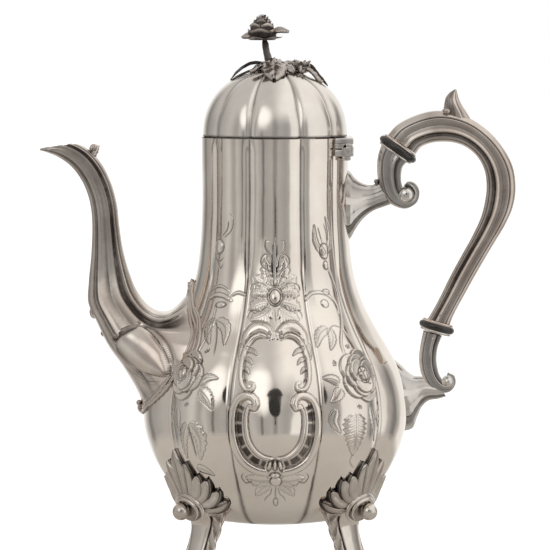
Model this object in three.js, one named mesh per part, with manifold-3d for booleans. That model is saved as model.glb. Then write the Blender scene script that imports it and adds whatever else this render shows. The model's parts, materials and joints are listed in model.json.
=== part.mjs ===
// A Victorian silver coffee pot: a fluted pear-shaped body on four shell feet, with a swan-neck
// spout, a hinged melon lid with a rose finial, and a scroll handle held between black insulators.
//
// Millimetres, +Z up. The origin is on the table, under the body's axis. The spout points along -X,
// the handle along +X, and the front of the pot faces -Y.
import * as THREE from "three";
import { mergeVertices } from "three/addons/utils/BufferGeometryUtils.js";
import Module from "manifold-3d";

const wasm = await Module();
wasm.setup();

// ---- driving dimensions -----------------------------------------------------------------------

const BELLY_RADIUS = 65.7;
const NECK_RADIUS = 36.7;
const BASE_RADIUS = 24;
const BASE_HEIGHT = 28.6; // underside of the body above the table
const BASE_THICKNESS = 1.2;
const MOUTH_HEIGHT = 220.4; // top edge of the neck
const WALL = 1.1; // sheet thickness of the body and the lid
const GAP = 0.3; // solder and running gaps between pieces

// The valleys between the flutes, in degrees from the front. The other side mirrors them.
const FLUTE_EDGES = [-20, 20, 55, 125, 160, 200];
const FLUTE_SHARE = 0.035; // depth of a valley as a share of the radius
const LATHE_SEGMENTS = 40;
const BODY_STATIONS = 13; // rows of facets up the outside of the body

const LID_RADIUS = 35.9;
const LID_BASE = MOUTH_HEIGHT + 0.5;
const LID_RISE = 33.1;
const LID_ROUNDNESS = 2.25; // exponent of the lid's outline, where 2 is an ellipse
const LID_TOP = LID_BASE + LID_RISE;
const STUD_RADIUS = 1.5;
const BEZEL = { inner: 32.8, outer: 33.8, depth: 4.4, endX: 20 };

const HINGE = { x: 36.2, z: 215.2, halfWidth: 20.2, barrel: 2.9, pin: 1, lidKnuckle: 6.7 };
const PIN_CLEARANCE = 0.07; // running clearance of the hinge pin, on the radius
const HINGE_INNER_X = 29.6; // the flat inner side of the hinge block
const HINGE_OUTER_X = 38.7;

const SPOUT_TOP = 214.4; // height of the pouring lip
const SPOUT_BORE = 0.84; // the passage's size as a share of the spout's outside
const GRIP_BORE = 0.62; // the same for the hollow grip
const STRAINER = { height: 112, pitch: 7, hole: 1.9 };
const UPPER_RING = { x: 61.4, z: 214.4, slope: 55, radius: 10.4 };
const LOWER_RING = { x: 80.9, z: 125.5, slope: 74, radius: 8.7 };
const RING_THICKNESS = 3.2;
const FLANGE_THICKNESS = 1.2;

const FOOT_AZIMUTH = 54; // degrees from the front
const FOOT_BALL = { r: 56.4, z: 34.5, radius: 4.7 };
const FOOT_TOE = { r: 51, height: 3.4 };

const COLOURS = { silver: 0xc9c5bd, worn: 0xb3aca2, ebony: 0x17161a };

// ---- small helpers ----------------------------------------------------------------------------

const point = (x, z, y = 0) => new THREE.Vector3(x, y, z);
const curveThrough = (...points) => new THREE.CatmullRomCurve3(points, false, "centripetal");
const radians = THREE.MathUtils.degToRad;
const smooth = THREE.MathUtils.smoothstep;

// A closed geometry as a manifold-3d solid.
function solidOf(geometry) {
  const bare = geometry.clone();
  bare.deleteAttribute("normal");
  bare.deleteAttribute("uv");
  const merged = mergeVertices(bare, 1e-3);
  return new wasm.Manifold(
    new wasm.Mesh({
      numProp: 3,
      vertProperties: merged.attributes.position.array,
      triVerts: new Uint32Array(merged.index.array),
    }),
  );
}

function geometryOf(solid) {
  const mesh = solid.getMesh();
  return new THREE.BufferGeometry()
    .setAttribute("position", new THREE.BufferAttribute(mesh.vertProperties, 3))
    .setIndex(new THREE.BufferAttribute(mesh.triVerts, 1));
}

const joined = (...solids) => solids.reduce((whole, next) => whole.add(next));
const cutBy = (solid, ...tools) => tools.reduce((left, tool) => left.subtract(tool), solid);

function box(x0, x1, y0, y1, z0, z1) {
  const geometry = new THREE.BoxGeometry(x1 - x0, y1 - y0, z1 - z0);
  return solidOf(geometry.translate((x0 + x1) / 2, (y0 + y1) / 2, (z0 + z1) / 2));
}

function ball(radius, x, y, z) {
  return solidOf(new THREE.SphereGeometry(radius, 9, 6).translate(x, y, z));
}

// A cylinder that lies along Y.
function rod(radius, length, x, z, segments = 16) {
  return solidOf(new THREE.CylinderGeometry(radius, radius, length, segments).translate(x, 0, z));
}

// A profile of [radius, height] pairs turned about the Z axis, starting at the front of the pot.
function turned(profile, segments = LATHE_SEGMENTS) {
  const points = profile.map(([r, h]) => new THREE.Vector2(r, h));
  return new THREE.LatheGeometry(points, segments).rotateX(Math.PI / 2);
}

// A bar along a curve, with an elliptical section: thick(s) is the half size in the plane of the
// curve and wide(s) the half size along side, for s from 0 to 1. A bore share makes it a tube.
function swept(curve, side, thick, wide, { segments = 12, stations = 12, bore = 0 } = {}) {
  const steps = Array.from({ length: stations + 1 }, (_, i) => i / stations);
  const outside = steps.map((s) => [1, s]);
  const inside = steps.map((s) => [bore, s]).reverse();
  const profile = bore ? [...outside, ...inside, outside[0]] : [[0, 0], ...outside, [0, 1]];
  const geometry = new THREE.LatheGeometry(
    profile.map(([r, s]) => new THREE.Vector2(r, s)),
    segments,
  );
  const position = geometry.attributes.position;
  for (let i = 0; i < position.count; i++) {
    const s = position.getY(i);
    const normal = new THREE.Vector3().crossVectors(side, curve.getTangentAt(s)).normalize();
    const at = curve
      .getPointAt(s)
      .addScaledVector(normal, position.getX(i) * thick(s))
      .addScaledVector(side, position.getZ(i) * wide(s));
    position.setXYZ(i, at.x, at.y, at.z);
  }
  return solidOf(turnedInsideOut(geometry));
}

// Reverses every face: sweeping a lathe's unit profile along a curve turns it inside out.
function turnedInsideOut(geometry) {
  const index = geometry.index.array.slice();
  for (let i = 0; i < index.length; i += 3) {
    const second = index[i + 1];
    index[i + 1] = index[i + 2];
    index[i + 2] = second;
  }
  return geometry.setIndex(new THREE.BufferAttribute(index, 1));
}

const ACROSS = new THREE.Vector3(0, 1, 0); // the side axis of every curve in the XZ plane
const constant = (value) => () => value;
const taper = (start, end) => (s) => THREE.MathUtils.lerp(start, end, s);
const leafWidth = (widest) => (s) => widest * Math.sin(Math.PI * (0.06 + 0.9 * s)) ** 0.8;

// ---- body -------------------------------------------------------------------------------------

// 0 on a flute's crest, 1 in the valleys beside it, for a bearing from the front.
function fluteFraction(degrees) {
  const i = FLUTE_EDGES.findIndex((edge) => degrees < edge);
  const middle = (FLUTE_EDGES[i] + FLUTE_EDGES[i - 1]) / 2;
  return Math.abs(degrees - middle) / ((FLUTE_EDGES[i] - FLUTE_EDGES[i - 1]) / 2);
}

// A turned geometry has a row of vertices every 9 degrees. Moves each row so that two steps span
// half the front flute and eight the rest of the quarter, which puts a row in every valley.
function alignedToValleys(degrees) {
  const quarter = degrees > 90 ? 180 - degrees : degrees;
  const [step, frontEdge] = [360 / LATHE_SEGMENTS, FLUTE_EDGES[1]];
  const moved =
    quarter < 2 * step
      ? (quarter / (2 * step)) * frontEdge
      : frontEdge + ((quarter - 2 * step) / (8 * step)) * (90 - frontEdge);
  return degrees > 90 ? 180 - moved : moved;
}

// Presses the flutes into a turned geometry. They fade out on the way to the base.
function fluted(geometry) {
  const position = geometry.attributes.position;
  for (let i = 0; i < position.count; i++) {
    const [x, y, z] = [position.getX(i), position.getY(i), position.getZ(i)];
    const bearing = THREE.MathUtils.radToDeg(Math.atan2(x, -y));
    const degrees = alignedToValleys(Math.abs(bearing));
    const fade = smooth(z, BASE_HEIGHT, BASE_HEIGHT + 5);
    const r = Math.hypot(x, y) * (1 - FLUTE_SHARE * fluteFraction(degrees) ** 2 * fade);
    const angle = radians(Math.sign(bearing) * degrees);
    position.setXYZ(i, r * Math.sin(angle), -r * Math.cos(angle), z);
  }
  return geometry;
}

// The outside of the body from the base to the mouth, grown outwards by offset.
function bodyOutline(offset = 0, samples = BODY_STATIONS) {
  const outline = new THREE.SplineCurve([
    new THREE.Vector2(BASE_RADIUS, BASE_HEIGHT),
    new THREE.Vector2(38, 32.5),
    new THREE.Vector2(52, 45.5),
    new THREE.Vector2(62.5, 64),
    new THREE.Vector2(BELLY_RADIUS, 82),
    new THREE.Vector2(60.8, 107),
    new THREE.Vector2(50.5, 124.5),
    new THREE.Vector2(42, 144),
    new THREE.Vector2(37.4, 165),
    new THREE.Vector2(36.3, 190),
    new THREE.Vector2(NECK_RADIUS, MOUTH_HEIGHT),
  ]);
  return outline.getPoints(samples).map((p, i) => {
    const tangent = outline.getTangent(i / samples);
    return [p.x + offset * tangent.y, p.y - offset * tangent.x];
  });
}

// The body as a filled shape, a solder gap larger than the real one: it cuts what sits on the body.
// It can be turned about its axis to meet a piece that is modelled along +X.
function bodyEnvelope(degrees = 0) {
  const outline = bodyOutline(GAP);
  const [, lowest] = outline[0];
  const filled = fluted(turned([[0, lowest], ...outline, [0, MOUTH_HEIGHT]]));
  return solidOf(filled.rotateZ(radians(degrees)));
}

const envelope = bodyEnvelope();

function bodyShell() {
  const outside = bodyOutline();
  const inside = bodyOutline(-WALL).reverse();
  inside[0][1] = MOUTH_HEIGHT;
  inside[inside.length - 1][0] = BASE_RADIUS;
  const shell = solidOf(fluted(turned([...outside, ...inside, outside[0]])));
  const hingeNotch = box(
    HINGE_INNER_X - GAP, 50, -HINGE.halfWidth - GAP, HINGE.halfWidth + GAP, HINGE.z - 4.1, 230,
  );
  return cutBy(shell, hingeNotch, ...strainerHoles());
}

// The wall behind the spout is pierced with a rose of small holes that holds the grounds back.
function strainerHoles() {
  const around = Array.from({ length: 6 }, (_, i) => radians(60 * i));
  const ring = around.map((a) => [STRAINER.pitch * Math.cos(a), STRAINER.pitch * Math.sin(a)]);
  return [[0, 0], ...ring].map(([y, z]) => {
    const hole = new THREE.CylinderGeometry(STRAINER.hole, STRAINER.hole, 40, 8);
    return solidOf(hole.rotateZ(Math.PI / 2).translate(-58, y, STRAINER.height + z));
  });
}

function baseDisc() {
  const edge = BASE_RADIUS - GAP;
  const top = BASE_HEIGHT + BASE_THICKNESS;
  return solidOf(turned([[0, BASE_HEIGHT], [edge, BASE_HEIGHT], [edge, top], [0, top]], 32));
}

// ---- spout ------------------------------------------------------------------------------------

const SPOUT_CENTRE = curveThrough(
  point(-44, 113), point(-58, 118), point(-71.5, 126.5), point(-80, 137), point(-84, 150),
  point(-84.4, 165), point(-84.9, 178), point(-86.5, 189), point(-91, 200), point(-98, 209),
  point(-106, 215), point(-115, 219.5),
);
const SPOUT_FACETS = { segments: 14, stations: 18 };

// Half the spout's thickness and half its width, which both grow towards the root at s = 0.
const spoutThick = (s) => 6.4 + 1.6 * smooth(0.62 - s, 0, 0.3) + 20 * smooth(0.36 - s, 0, 0.36) ** 1.4;
const spoutWide = (s) => 6.2 + 2.3 * smooth(0.62 - s, 0, 0.3) + 8.5 * smooth(0.34 - s, 0, 0.3);

function spout() {
  const tube = swept(SPOUT_CENTRE, ACROSS, spoutThick, spoutWide, { ...SPOUT_FACETS, bore: SPOUT_BORE });
  const aboveLip = box(-130, -40, -30, 30, SPOUT_TOP, 240);
  const ornament = swept(
    curveThrough(point(-89.5, 206), point(-88.8, 211), point(-90.6, 215)),
    ACROSS, taper(1.6, 2.2), taper(2, 3), { segments: 8, stations: 3 },
  );
  const pad = cutBy(hugging(spoutPadOutline(), 1.6, 180), spoutPassage());
  return cutBy(joined(cutBy(tube, aboveLip), pad, ornament), envelope);
}

// The inside of the spout as a solid, which its pad must leave open.
function spoutPassage() {
  const thick = (s) => SPOUT_BORE * spoutThick(s);
  const wide = (s) => SPOUT_BORE * spoutWide(s);
  return swept(SPOUT_CENTRE, ACROSS, thick, wide, SPOUT_FACETS);
}

// Seen square on, with u across and v up: a leafy shield that points up and down.
function spoutPadOutline() {
  const shape = new THREE.Shape();
  shape.moveTo(0, 80);
  shape.quadraticCurveTo(13, 92, 17, 104);
  shape.quadraticCurveTo(23, 114, 17.5, 124);
  shape.quadraticCurveTo(10, 134, 4, 145);
  shape.lineTo(-4, 145);
  shape.quadraticCurveTo(-10, 134, -17.5, 124);
  shape.quadraticCurveTo(-23, 114, -17, 104);
  shape.quadraticCurveTo(-13, 92, 0, 80);
  return shape;
}

// A plate of the given outline that lies on the body, facing out at an azimuth from the +X axis.
function hugging(outline, thickness, azimuth) {
  const shape = { depth: 90, bevelEnabled: false, curveSegments: 4 };
  const prism = new THREE.ExtrudeGeometry(outline, shape);
  prism.rotateX(Math.PI / 2).rotateZ(radians(azimuth + 90));
  const rows = [[0, BASE_HEIGHT], ...bodyOutline(GAP + thickness), [0, MOUTH_HEIGHT]];
  return solidOf(prism).intersect(solidOf(fluted(turned(rows)))).subtract(envelope);
}

// ---- handle -----------------------------------------------------------------------------------

// Where a line along a ring's axis is, at a distance from the ring's middle towards the grip.
function alongRing(ring, distance) {
  const slope = radians(ring.slope);
  return point(ring.x + distance * Math.cos(slope), ring.z + distance * Math.sin(slope));
}

// A solid of revolution about a ring's axis: profile holds [radius, distance] pairs.
function aroundRing(ring, profile, segments = 16) {
  return solidOf(
    turned(profile, segments)
      .rotateY(radians(90 - ring.slope))
      .translate(ring.x, 0, ring.z),
  );
}

const ringFace = RING_THICKNESS / 2;
const flangeFace = ringFace + GAP + FLANGE_THICKNESS;
const insideFlange = flangeFace - FLANGE_THICKNESS / 3; // where the grip and the sockets start
const SPIGOT = { radius: 3, length: 9 };

// A black disc with a spigot on each side that plugs the grip and the socket.
function insulator(ring) {
  const { radius, length } = SPIGOT;
  const chamfered = ring.radius - 0.8;
  const disc = aroundRing(ring, [
    [0, -length], [radius, -length], [radius, -ringFace], [chamfered, -ringFace], [ring.radius, 0],
    [chamfered, ringFace], [radius, ringFace], [radius, length], [0, length],
  ]);
  return withPinHole(withPinHole(disc, ring, 1), ring, -1);
}

// The silver collar beside an insulator, on the grip's side for direction 1 and the socket's for -1.
function flange(ring, direction) {
  const near = direction * (ringFace + GAP);
  const far = direction * flangeFace;
  const [low, high] = [Math.min(near, far), Math.max(near, far)];
  const bore = SPIGOT.radius + GAP;
  const edge = ring.radius - 0.6;
  return aroundRing(ring, [[bore, low], [edge, low], [edge, high], [bore, high], [bore, low]]);
}

// The small hole across a ring's axis that a cross pin goes through.
function pinHole(ring, distance, radius, length) {
  const at = alongRing(ring, distance);
  return rod(radius, length, at.x, at.z, 10);
}

const PIN_DISTANCE = 6.2;

const crossPin = (ring, direction) => pinHole(ring, direction * PIN_DISTANCE, 0.7, 13.4);

function withPinHole(solid, ring, direction) {
  return cutBy(solid, pinHole(ring, direction * PIN_DISTANCE, 0.7 + GAP, 40));
}

// The hole that an insulator's spigot plugs into, on one side of the ring.
function spigotHole(ring, direction) {
  const radius = SPIGOT.radius + GAP;
  const end = direction * (SPIGOT.length + GAP);
  const [low, high] = [Math.min(0, end), Math.max(0, end)];
  return aroundRing(ring, [[0, low], [radius, low], [radius, high], [0, high]]);
}

function grip() {
  const centre = curveThrough(
    alongRing(UPPER_RING, insideFlange), alongRing(UPPER_RING, 6), point(73, 224.6),
    point(83.5, 225.6), point(98, 220.4), point(109, 208), point(112.9, 194), point(108.2, 176.5),
    point(95, 153.5), alongRing(LOWER_RING, 8), alongRing(LOWER_RING, insideFlange),
  );
  const swelling = (s) => 0.7 * Math.sin(Math.PI * Math.min(1, 2 * s));
  const thick = (s) => 6.9 + swelling(s) - 1.6 * smooth(s, 0.5, 0.8);
  const wide = (s) => thick(s) - 0.9;
  const facets = { segments: 10, stations: 19 };
  const tube = swept(centre, ACROSS, thick, wide, { ...facets, bore: GRIP_BORE });
  const inside = (size) => (s) => (GRIP_BORE - 0.01) * size(s);
  const core = swept(centre, ACROSS, inside(thick), inside(wide), facets);
  const thumbRest = swept(
    curveThrough(point(96.5, 221), point(93.5, 227.5), point(91, 235), point(89.6, 243.5)),
    ACROSS, (s) => 0.8 + 4.2 * Math.sin(Math.PI * (0.12 + 0.8 * s)), taper(4.6, 1),
    { segments: 8, stations: 5 },
  );
  const whole = joined(tube, flange(UPPER_RING, 1), flange(LOWER_RING, 1), cutBy(thumbRest, core));
  const plugged = cutBy(whole, spigotHole(UPPER_RING, 1), spigotHole(LOWER_RING, 1));
  return withPinHole(withPinHole(plugged, UPPER_RING, 1), LOWER_RING, 1);
}

// A socket hangs from its ring, curls into a volute and is carried by a bracket on the body.
function socket(ring, { path, thick, wide, volute, bracket, pad }) {
  const arm = swept(
    curveThrough(alongRing(ring, -insideFlange), alongRing(ring, -5), ...path),
    ACROSS, thick, wide, { segments: 12, stations: 10 },
  );
  const curl = rod(volute.radius, volute.width, volute.x, volute.z);
  const web = new THREE.ExtrudeGeometry(bracket.outline, {
    depth: bracket.width, bevelEnabled: false, curveSegments: 4,
  });
  web.rotateX(Math.PI / 2).translate(0, bracket.width / 2, 0);
  const whole = joined(arm, curl, flange(ring, -1), solidOf(web), hugging(pad, 1.5, 0));
  return withPinHole(cutBy(whole, spigotHole(ring, -1), envelope), ring, -1);
}

function upperSocket() {
  const outline = new THREE.Shape();
  outline.moveTo(34, 203.5);
  outline.lineTo(37.2, 202.5);
  outline.quadraticCurveTo(43, 195.6, 54, 198.5);
  outline.lineTo(60, 188);
  outline.quadraticCurveTo(44, 187, 38.6, 170);
  outline.lineTo(34, 168);
  const pad = new THREE.Shape();
  pad.moveTo(0, 167);
  pad.quadraticCurveTo(9, 178, 8.5, 190);
  pad.quadraticCurveTo(7, 198, 0, 205.5);
  pad.quadraticCurveTo(-7, 198, -8.5, 190);
  pad.quadraticCurveTo(-9, 178, 0, 167);
  return socket(UPPER_RING, {
    path: [point(57.6, 206), point(57.7, 200), point(60.2, 193.5), point(64.5, 189.6)],
    thick: (s) => 6.6 - 3.4 * s ** 2,
    wide: (s) => 6 - 0.8 * s,
    volute: { x: 64.7, z: 190.8, radius: 5, width: 10.6 },
    bracket: { outline, width: 8.4 },
    pad,
  });
}

function lowerSocket() {
  const outline = new THREE.Shape();
  outline.moveTo(58, 108);
  outline.lineTo(63.5, 106.2);
  outline.quadraticCurveTo(68, 101.8, 77, 102);
  outline.lineTo(84.5, 93.5);
  outline.quadraticCurveTo(72.8, 93.5, 71.2, 76);
  outline.lineTo(60, 74);
  const pad = new THREE.Shape();
  pad.moveTo(0, 72);
  pad.quadraticCurveTo(8, 80, 8.5, 90);
  pad.quadraticCurveTo(8, 99, 0, 108.5);
  pad.quadraticCurveTo(-8, 99, -8.5, 90);
  pad.quadraticCurveTo(-8, 80, 0, 72);
  return socket(LOWER_RING, {
    path: [point(77.2, 114), point(76.7, 107), point(78.8, 100), point(84, 96.2)],
    thick: (s) => 5 - 2.3 * s ** 2,
    wide: (s) => 5.3 - 0.5 * s,
    volute: { x: 85.8, z: 98.2, radius: 3.9, width: 9.4 },
    bracket: { outline, width: 7.6 },
    pad,
  });
}

// ---- lid and hinge ----------------------------------------------------------------------------

// The lid's outline from its rim to the edge of the stud hole, shrunk inwards by inset.
function lidOutline(inset, holeRadius, samples = 9) {
  const [radius, rise] = [LID_RADIUS - inset, LID_RISE - inset];
  const highest = Math.acos(holeRadius / radius);
  return Array.from({ length: samples + 1 }, (_, i) => {
    const angle = (highest * i) / samples;
    const power = 2 / LID_ROUNDNESS;
    const r = Math.max(holeRadius, radius * Math.cos(angle) ** power);
    return [i === samples ? holeRadius : r, LID_BASE + rise * Math.sin(angle) ** power];
  });
}

function lidDome() {
  const hole = STUD_RADIUS + GAP;
  const outside = lidOutline(0, hole);
  const inside = lidOutline(WALL, hole, 6).reverse();
  return solidOf(fluted(turned([...outside, ...inside, outside[0]])));
}

// The lid as a filled shape, a gap larger than the real one: it cuts what sits on the lid.
function lidEnvelope() {
  const bottom = LID_BASE - GAP;
  const rows = lidOutline(-GAP, 0.01, 12).slice(1, -1);
  const profile = [[0, bottom], [LID_RADIUS + GAP, bottom], ...rows, [0, LID_TOP + GAP]];
  return solidOf(fluted(turned(profile)));
}

const domeEnvelope = lidEnvelope();

// The ring below the lid that drops inside the neck. It stops short of the hinge, to clear the neck
// as the lid swings.
function lidBezel() {
  const [bottom, top] = [MOUTH_HEIGHT - BEZEL.depth, LID_BASE - GAP];
  const section = [
    [BEZEL.inner, bottom], [BEZEL.outer, bottom], [BEZEL.outer, top], [BEZEL.inner, top],
    [BEZEL.inner, bottom],
  ];
  return cutBy(solidOf(turned(section, 36)), box(BEZEL.endX, 40, -40, 40, bottom - 1, top + 1));
}

const leafTop = LID_BASE - GAP;
const barrelClearance = HINGE.barrel + 0.4;

const hingeBore = () => rod(HINGE.pin + PIN_CLEARANCE, 60, HINGE.x, HINGE.z, 12);

// The lower leaf, let into the neck, with the two outer thirds of the barrel.
function hingeBodyLeaf() {
  const width = HINGE.halfWidth;
  const block = box(HINGE_INNER_X, HINGE_OUTER_X, -width, width, HINGE.z - 3.8, HINGE.z);
  const barrel = rod(HINGE.barrel, 2 * width, HINGE.x, HINGE.z);
  const knuckleSpace = rod(barrelClearance, 2 * (HINGE.lidKnuckle + GAP), HINGE.x, HINGE.z);
  return cutBy(joined(block, barrel), knuckleSpace, hingeBore());
}

// The upper leaf, under the lid's rim, with the middle third of the barrel.
function hingeLidLeaf() {
  const [width, knuckle] = [HINGE.halfWidth, HINGE.lidKnuckle];
  const block = box(HINGE_INNER_X, HINGE_OUTER_X, -width, width, HINGE.z + GAP, leafTop);
  const barrelSpace = rod(barrelClearance, 60, HINGE.x, HINGE.z);
  const barrel = rod(HINGE.barrel, 2 * knuckle, HINGE.x, HINGE.z);
  const web = box(HINGE.x - 2.2, HINGE.x + 2.2, -knuckle, knuckle, HINGE.z, leafTop);
  return cutBy(joined(cutBy(block, barrelSpace), barrel, web), hingeBore());
}

const hingePin = () => rod(HINGE.pin, 2 * HINGE.halfWidth + 0.6, HINGE.x, HINGE.z, 12);

// ---- finial -----------------------------------------------------------------------------------

// A leaf whose midrib follows points given as [distance from the axis, height]. It is modelled
// along +X, cut clear of the lid and turned to an azimuth counted from +X towards +Y.
function leaf(azimuth, rib, widest) {
  const midrib = curveThrough(...rib.map(([r, z]) => point(r, z)));
  const facets = { segments: 6, stations: 6 };
  const blade = cutBy(swept(midrib, ACROSS, constant(0.55), leafWidth(widest), facets), domeEnvelope);
  return solidOf(geometryOf(blade).rotateZ(radians(azimuth)));
}

function finialBranch() {
  const stud = solidOf(
    new THREE.CylinderGeometry(STUD_RADIUS, STUD_RADIUS, 10.6, 12)
      .rotateX(Math.PI / 2)
      .translate(0, 0, LID_TOP - 1.6),
  );
  const knot = ball(3.2, -0.6, 0, LID_TOP + 3);
  const stem = swept(
    curveThrough(point(-1, 257), point(-3.4, 259.4), point(-4, 263.5), point(-5.2, 269.4)),
    ACROSS, taper(1.4, 1.9), taper(1.4, 1.9), { segments: 8, stations: 6 },
  );
  return joined(stud, knot, stem);
}

// The rose: a domed rosette over a wider saucer of outer petals, tilted a little to one side.
function finialBloom() {
  const outline = [[0, 0], [6.6, 0.4], [9.4, 1.6], [7.4, 4], [6.4, 8], [4, 11], [0, 12.2]];
  const rosette = turned(outline, 16);
  const outerPetal = swept(
    curveThrough(point(-10, 271.2), point(-14, 270.6), point(-16.4, 270.2)),
    ACROSS, constant(0.6), leafWidth(3.4), { segments: 6, stations: 3 },
  );
  const innerPetal = swept(
    curveThrough(point(-1, 273.2), point(3.4, 273.6), point(7, 272.8)),
    ACROSS, constant(0.6), leafWidth(3.4), { segments: 6, stations: 3 },
  );
  return joined(solidOf(rosette.translate(-6.2, 0, 269.8)), outerPetal, innerPetal);
}

function finialBuds() {
  const twig = swept(
    curveThrough(point(3.4, 257.4), point(9, 257.8), point(15, 256)),
    ACROSS, constant(1.1), constant(1.1), { segments: 8, stations: 4 },
  );
  const buds = [ball(2.5, 13.4, 0.4, 255.6), ball(2, 10.4, -2.2, 257), ball(2, 16.6, -1.6, 255.2)];
  return joined(twig, ...buds);
}

// A flat ring round the stud, with facets sides.
function studRing(outer, bottom, top, facets) {
  const inner = STUD_RADIUS + GAP;
  const section = [[inner, bottom], [outer, bottom], [outer, top], [inner, top], [inner, bottom]];
  return solidOf(turned(section, facets));
}

const WASHER = { radius: 4.6, thickness: 0.9, top: LID_TOP - WALL - GAP - 0.3 };
const NUT = { radius: 3.6, height: 2.6, top: WASHER.top - WASHER.thickness - GAP };

const finialWasher = () => studRing(WASHER.radius, WASHER.top - WASHER.thickness, WASHER.top, 12);
const finialNut = () => studRing(NUT.radius, NUT.top - NUT.height, NUT.top, 6);

// ---- feet -------------------------------------------------------------------------------------

// One foot in the XZ plane with +X outwards: a ball and collar at the knee, shell leaves that fan
// from the collar up onto the body, and a leg that flares down to a scrolled toe.
function footSolid() {
  const leg = swept(
    curveThrough(
      point(49, 36), point(42.5, 34), point(40.8, 28), point(43, 19), point(46.2, 10),
      point(FOOT_TOE.r - 0.5, FOOT_TOE.height),
    ),
    ACROSS, (s) => 5 - 1.9 * smooth(s, 0, 0.6), (s) => 7.6 - 2.4 * smooth(s, 0, 0.5),
    { segments: 8, stations: 7 },
  );
  const toe = new THREE.CylinderGeometry(5.2, 5.8, FOOT_TOE.height, 12);
  toe.rotateX(Math.PI / 2).translate(FOOT_TOE.r, 0, FOOT_TOE.height / 2);
  const toeScroll = rod(2.9, 10, FOOT_TOE.r + 4.2, 3.5, 10);
  const ground = box(0, 90, -40, 40, -20, 0);
  const collar = new THREE.CylinderGeometry(7.4, 8.4, 3, 12);
  collar.rotateZ(Math.PI / 2 - 0.25).translate(52.6, 0, 36.2);
  const knee = ball(FOOT_BALL.radius, FOOT_BALL.r, 0, FOOT_BALL.z);
  const upper = joined(solidOf(collar), knee, ...shellLeaves());
  const lower = joined(leg, solidOf(toe), cutBy(toeScroll, ground));
  return cutBy(joined(upper, lower), bodyEnvelope(90 - FOOT_AZIMUTH));
}

// Seven leaves from the collar to points on the body: [degrees round the pot, height] of each tip.
function shellLeaves() {
  const [middle, ...pairs] = [[0, 64], [8.5, 59.5], [15.5, 52], [21, 42.5]];
  return [middle, ...pairs, ...pairs.map(([degrees, z]) => [-degrees, z])].map(shellLeaf);
}

function shellLeaf([degrees, z]) {
  const angle = radians(degrees);
  const reach = radiusAt(z) + 0.9;
  const root = point(53, 36 + (z - 36) * 0.12, 14 * Math.sin(angle));
  const tip = point(reach * Math.cos(angle), z, reach * Math.sin(angle));
  const middle = root.clone().lerp(tip, 0.55).add(point(1.4, 0));
  const along = tip.clone().sub(root);
  const side = new THREE.Vector3().crossVectors(new THREE.Vector3(1, 0, 0), along).normalize();
  const wide = (s) => 2.6 + 1.3 * Math.sin(Math.PI * s ** 0.8) - 1.6 * s ** 4;
  const facets = { segments: 4, stations: 3 };
  return swept(curveThrough(root, middle, tip), side, constant(1.1), wide, facets);
}

// The body's crest radius at a height, read off its outline.
function radiusAt(height) {
  const outline = bodyOutline(0, 60);
  const i = outline.findIndex(([, z]) => z > height);
  const [[r0, z0], [r1, z1]] = [outline[i - 1], outline[i]];
  return r0 + ((r1 - r0) * (height - z0)) / (z1 - z0);
}

// ---- assembly ---------------------------------------------------------------------------------

const pot = new THREE.Group();
const materials = {
  silver: new THREE.MeshStandardMaterial({ color: COLOURS.silver, roughness: 0.16, metalness: 1 }),
  worn: new THREE.MeshStandardMaterial({ color: COLOURS.worn, roughness: 0.3, metalness: 1 }),
  ebony: new THREE.MeshStandardMaterial({ color: COLOURS.ebony, roughness: 0.35, metalness: 0 }),
};

function place(name, solid, material = "silver") {
  const mesh = new THREE.Mesh(geometryOf(solid), materials[material]);
  mesh.name = name;
  pot.add(mesh);
  return mesh;
}

place("body_shell", bodyShell());
place("base_disc", baseDisc());
place("spout", spout(), "worn");

place("handle_grip", grip(), "worn");
place("upper_socket", upperSocket());
place("lower_socket", lowerSocket());
place("upper_insulator", insulator(UPPER_RING), "ebony");
place("lower_insulator", insulator(LOWER_RING), "ebony");
place("upper_grip_pin", crossPin(UPPER_RING, 1));
place("upper_socket_pin", crossPin(UPPER_RING, -1));
place("lower_grip_pin", crossPin(LOWER_RING, 1));
place("lower_socket_pin", crossPin(LOWER_RING, -1));

place("hinge_body_leaf", hingeBodyLeaf());
place("hinge_lid_leaf", hingeLidLeaf());
place("hinge_pin", hingePin());
place("lid_dome", lidDome());
place("lid_bezel", lidBezel());

place("finial_branch", finialBranch(), "worn");
place("finial_bloom", finialBloom(), "worn");
place("finial_leaf_left", leaf(180, [[4, 257.6], [12.8, 256.8], [18, 253.2], [23, 249]], 3.4), "worn");
place("finial_leaf_right", leaf(-6, [[19.4, 256.2], [22.6, 253.4], [27.4, 246.6]], 3.2), "worn");
place("finial_leaf_front", leaf(-82, [[3.6, 257.4], [10, 257], [16, 253.6], [21, 249.6]], 6.4), "worn");
place("finial_leaf_back", leaf(98, [[3.6, 257.4], [10, 257], [16, 253.6], [21, 249.6]], 6), "worn");
place("finial_buds", finialBuds(), "worn");
place("finial_washer", finialWasher());
place("finial_nut", finialNut());

// A foot is turned from +X to its place at the front right, and mirrored to the other three.
const foot = footSolid();
const turn = radians(FOOT_AZIMUTH - 90);
for (const [side, x] of [["left", -1], ["right", 1]])
  for (const [end, y] of [["front", 1], ["back", -1]]) {
    const mirror = new THREE.Group();
    mirror.scale.set(x, y, 1);
    const mesh = place(`foot_${end}_${side}`, foot);
    mesh.rotation.z = turn;
    mirror.add(mesh);
    pot.add(mirror);
  }

export default pot;
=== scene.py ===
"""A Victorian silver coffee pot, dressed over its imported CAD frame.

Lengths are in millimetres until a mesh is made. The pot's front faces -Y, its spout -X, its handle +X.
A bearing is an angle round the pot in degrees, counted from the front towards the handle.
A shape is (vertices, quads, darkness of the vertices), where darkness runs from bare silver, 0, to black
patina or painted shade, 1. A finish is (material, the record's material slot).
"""

import json
import math

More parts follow.
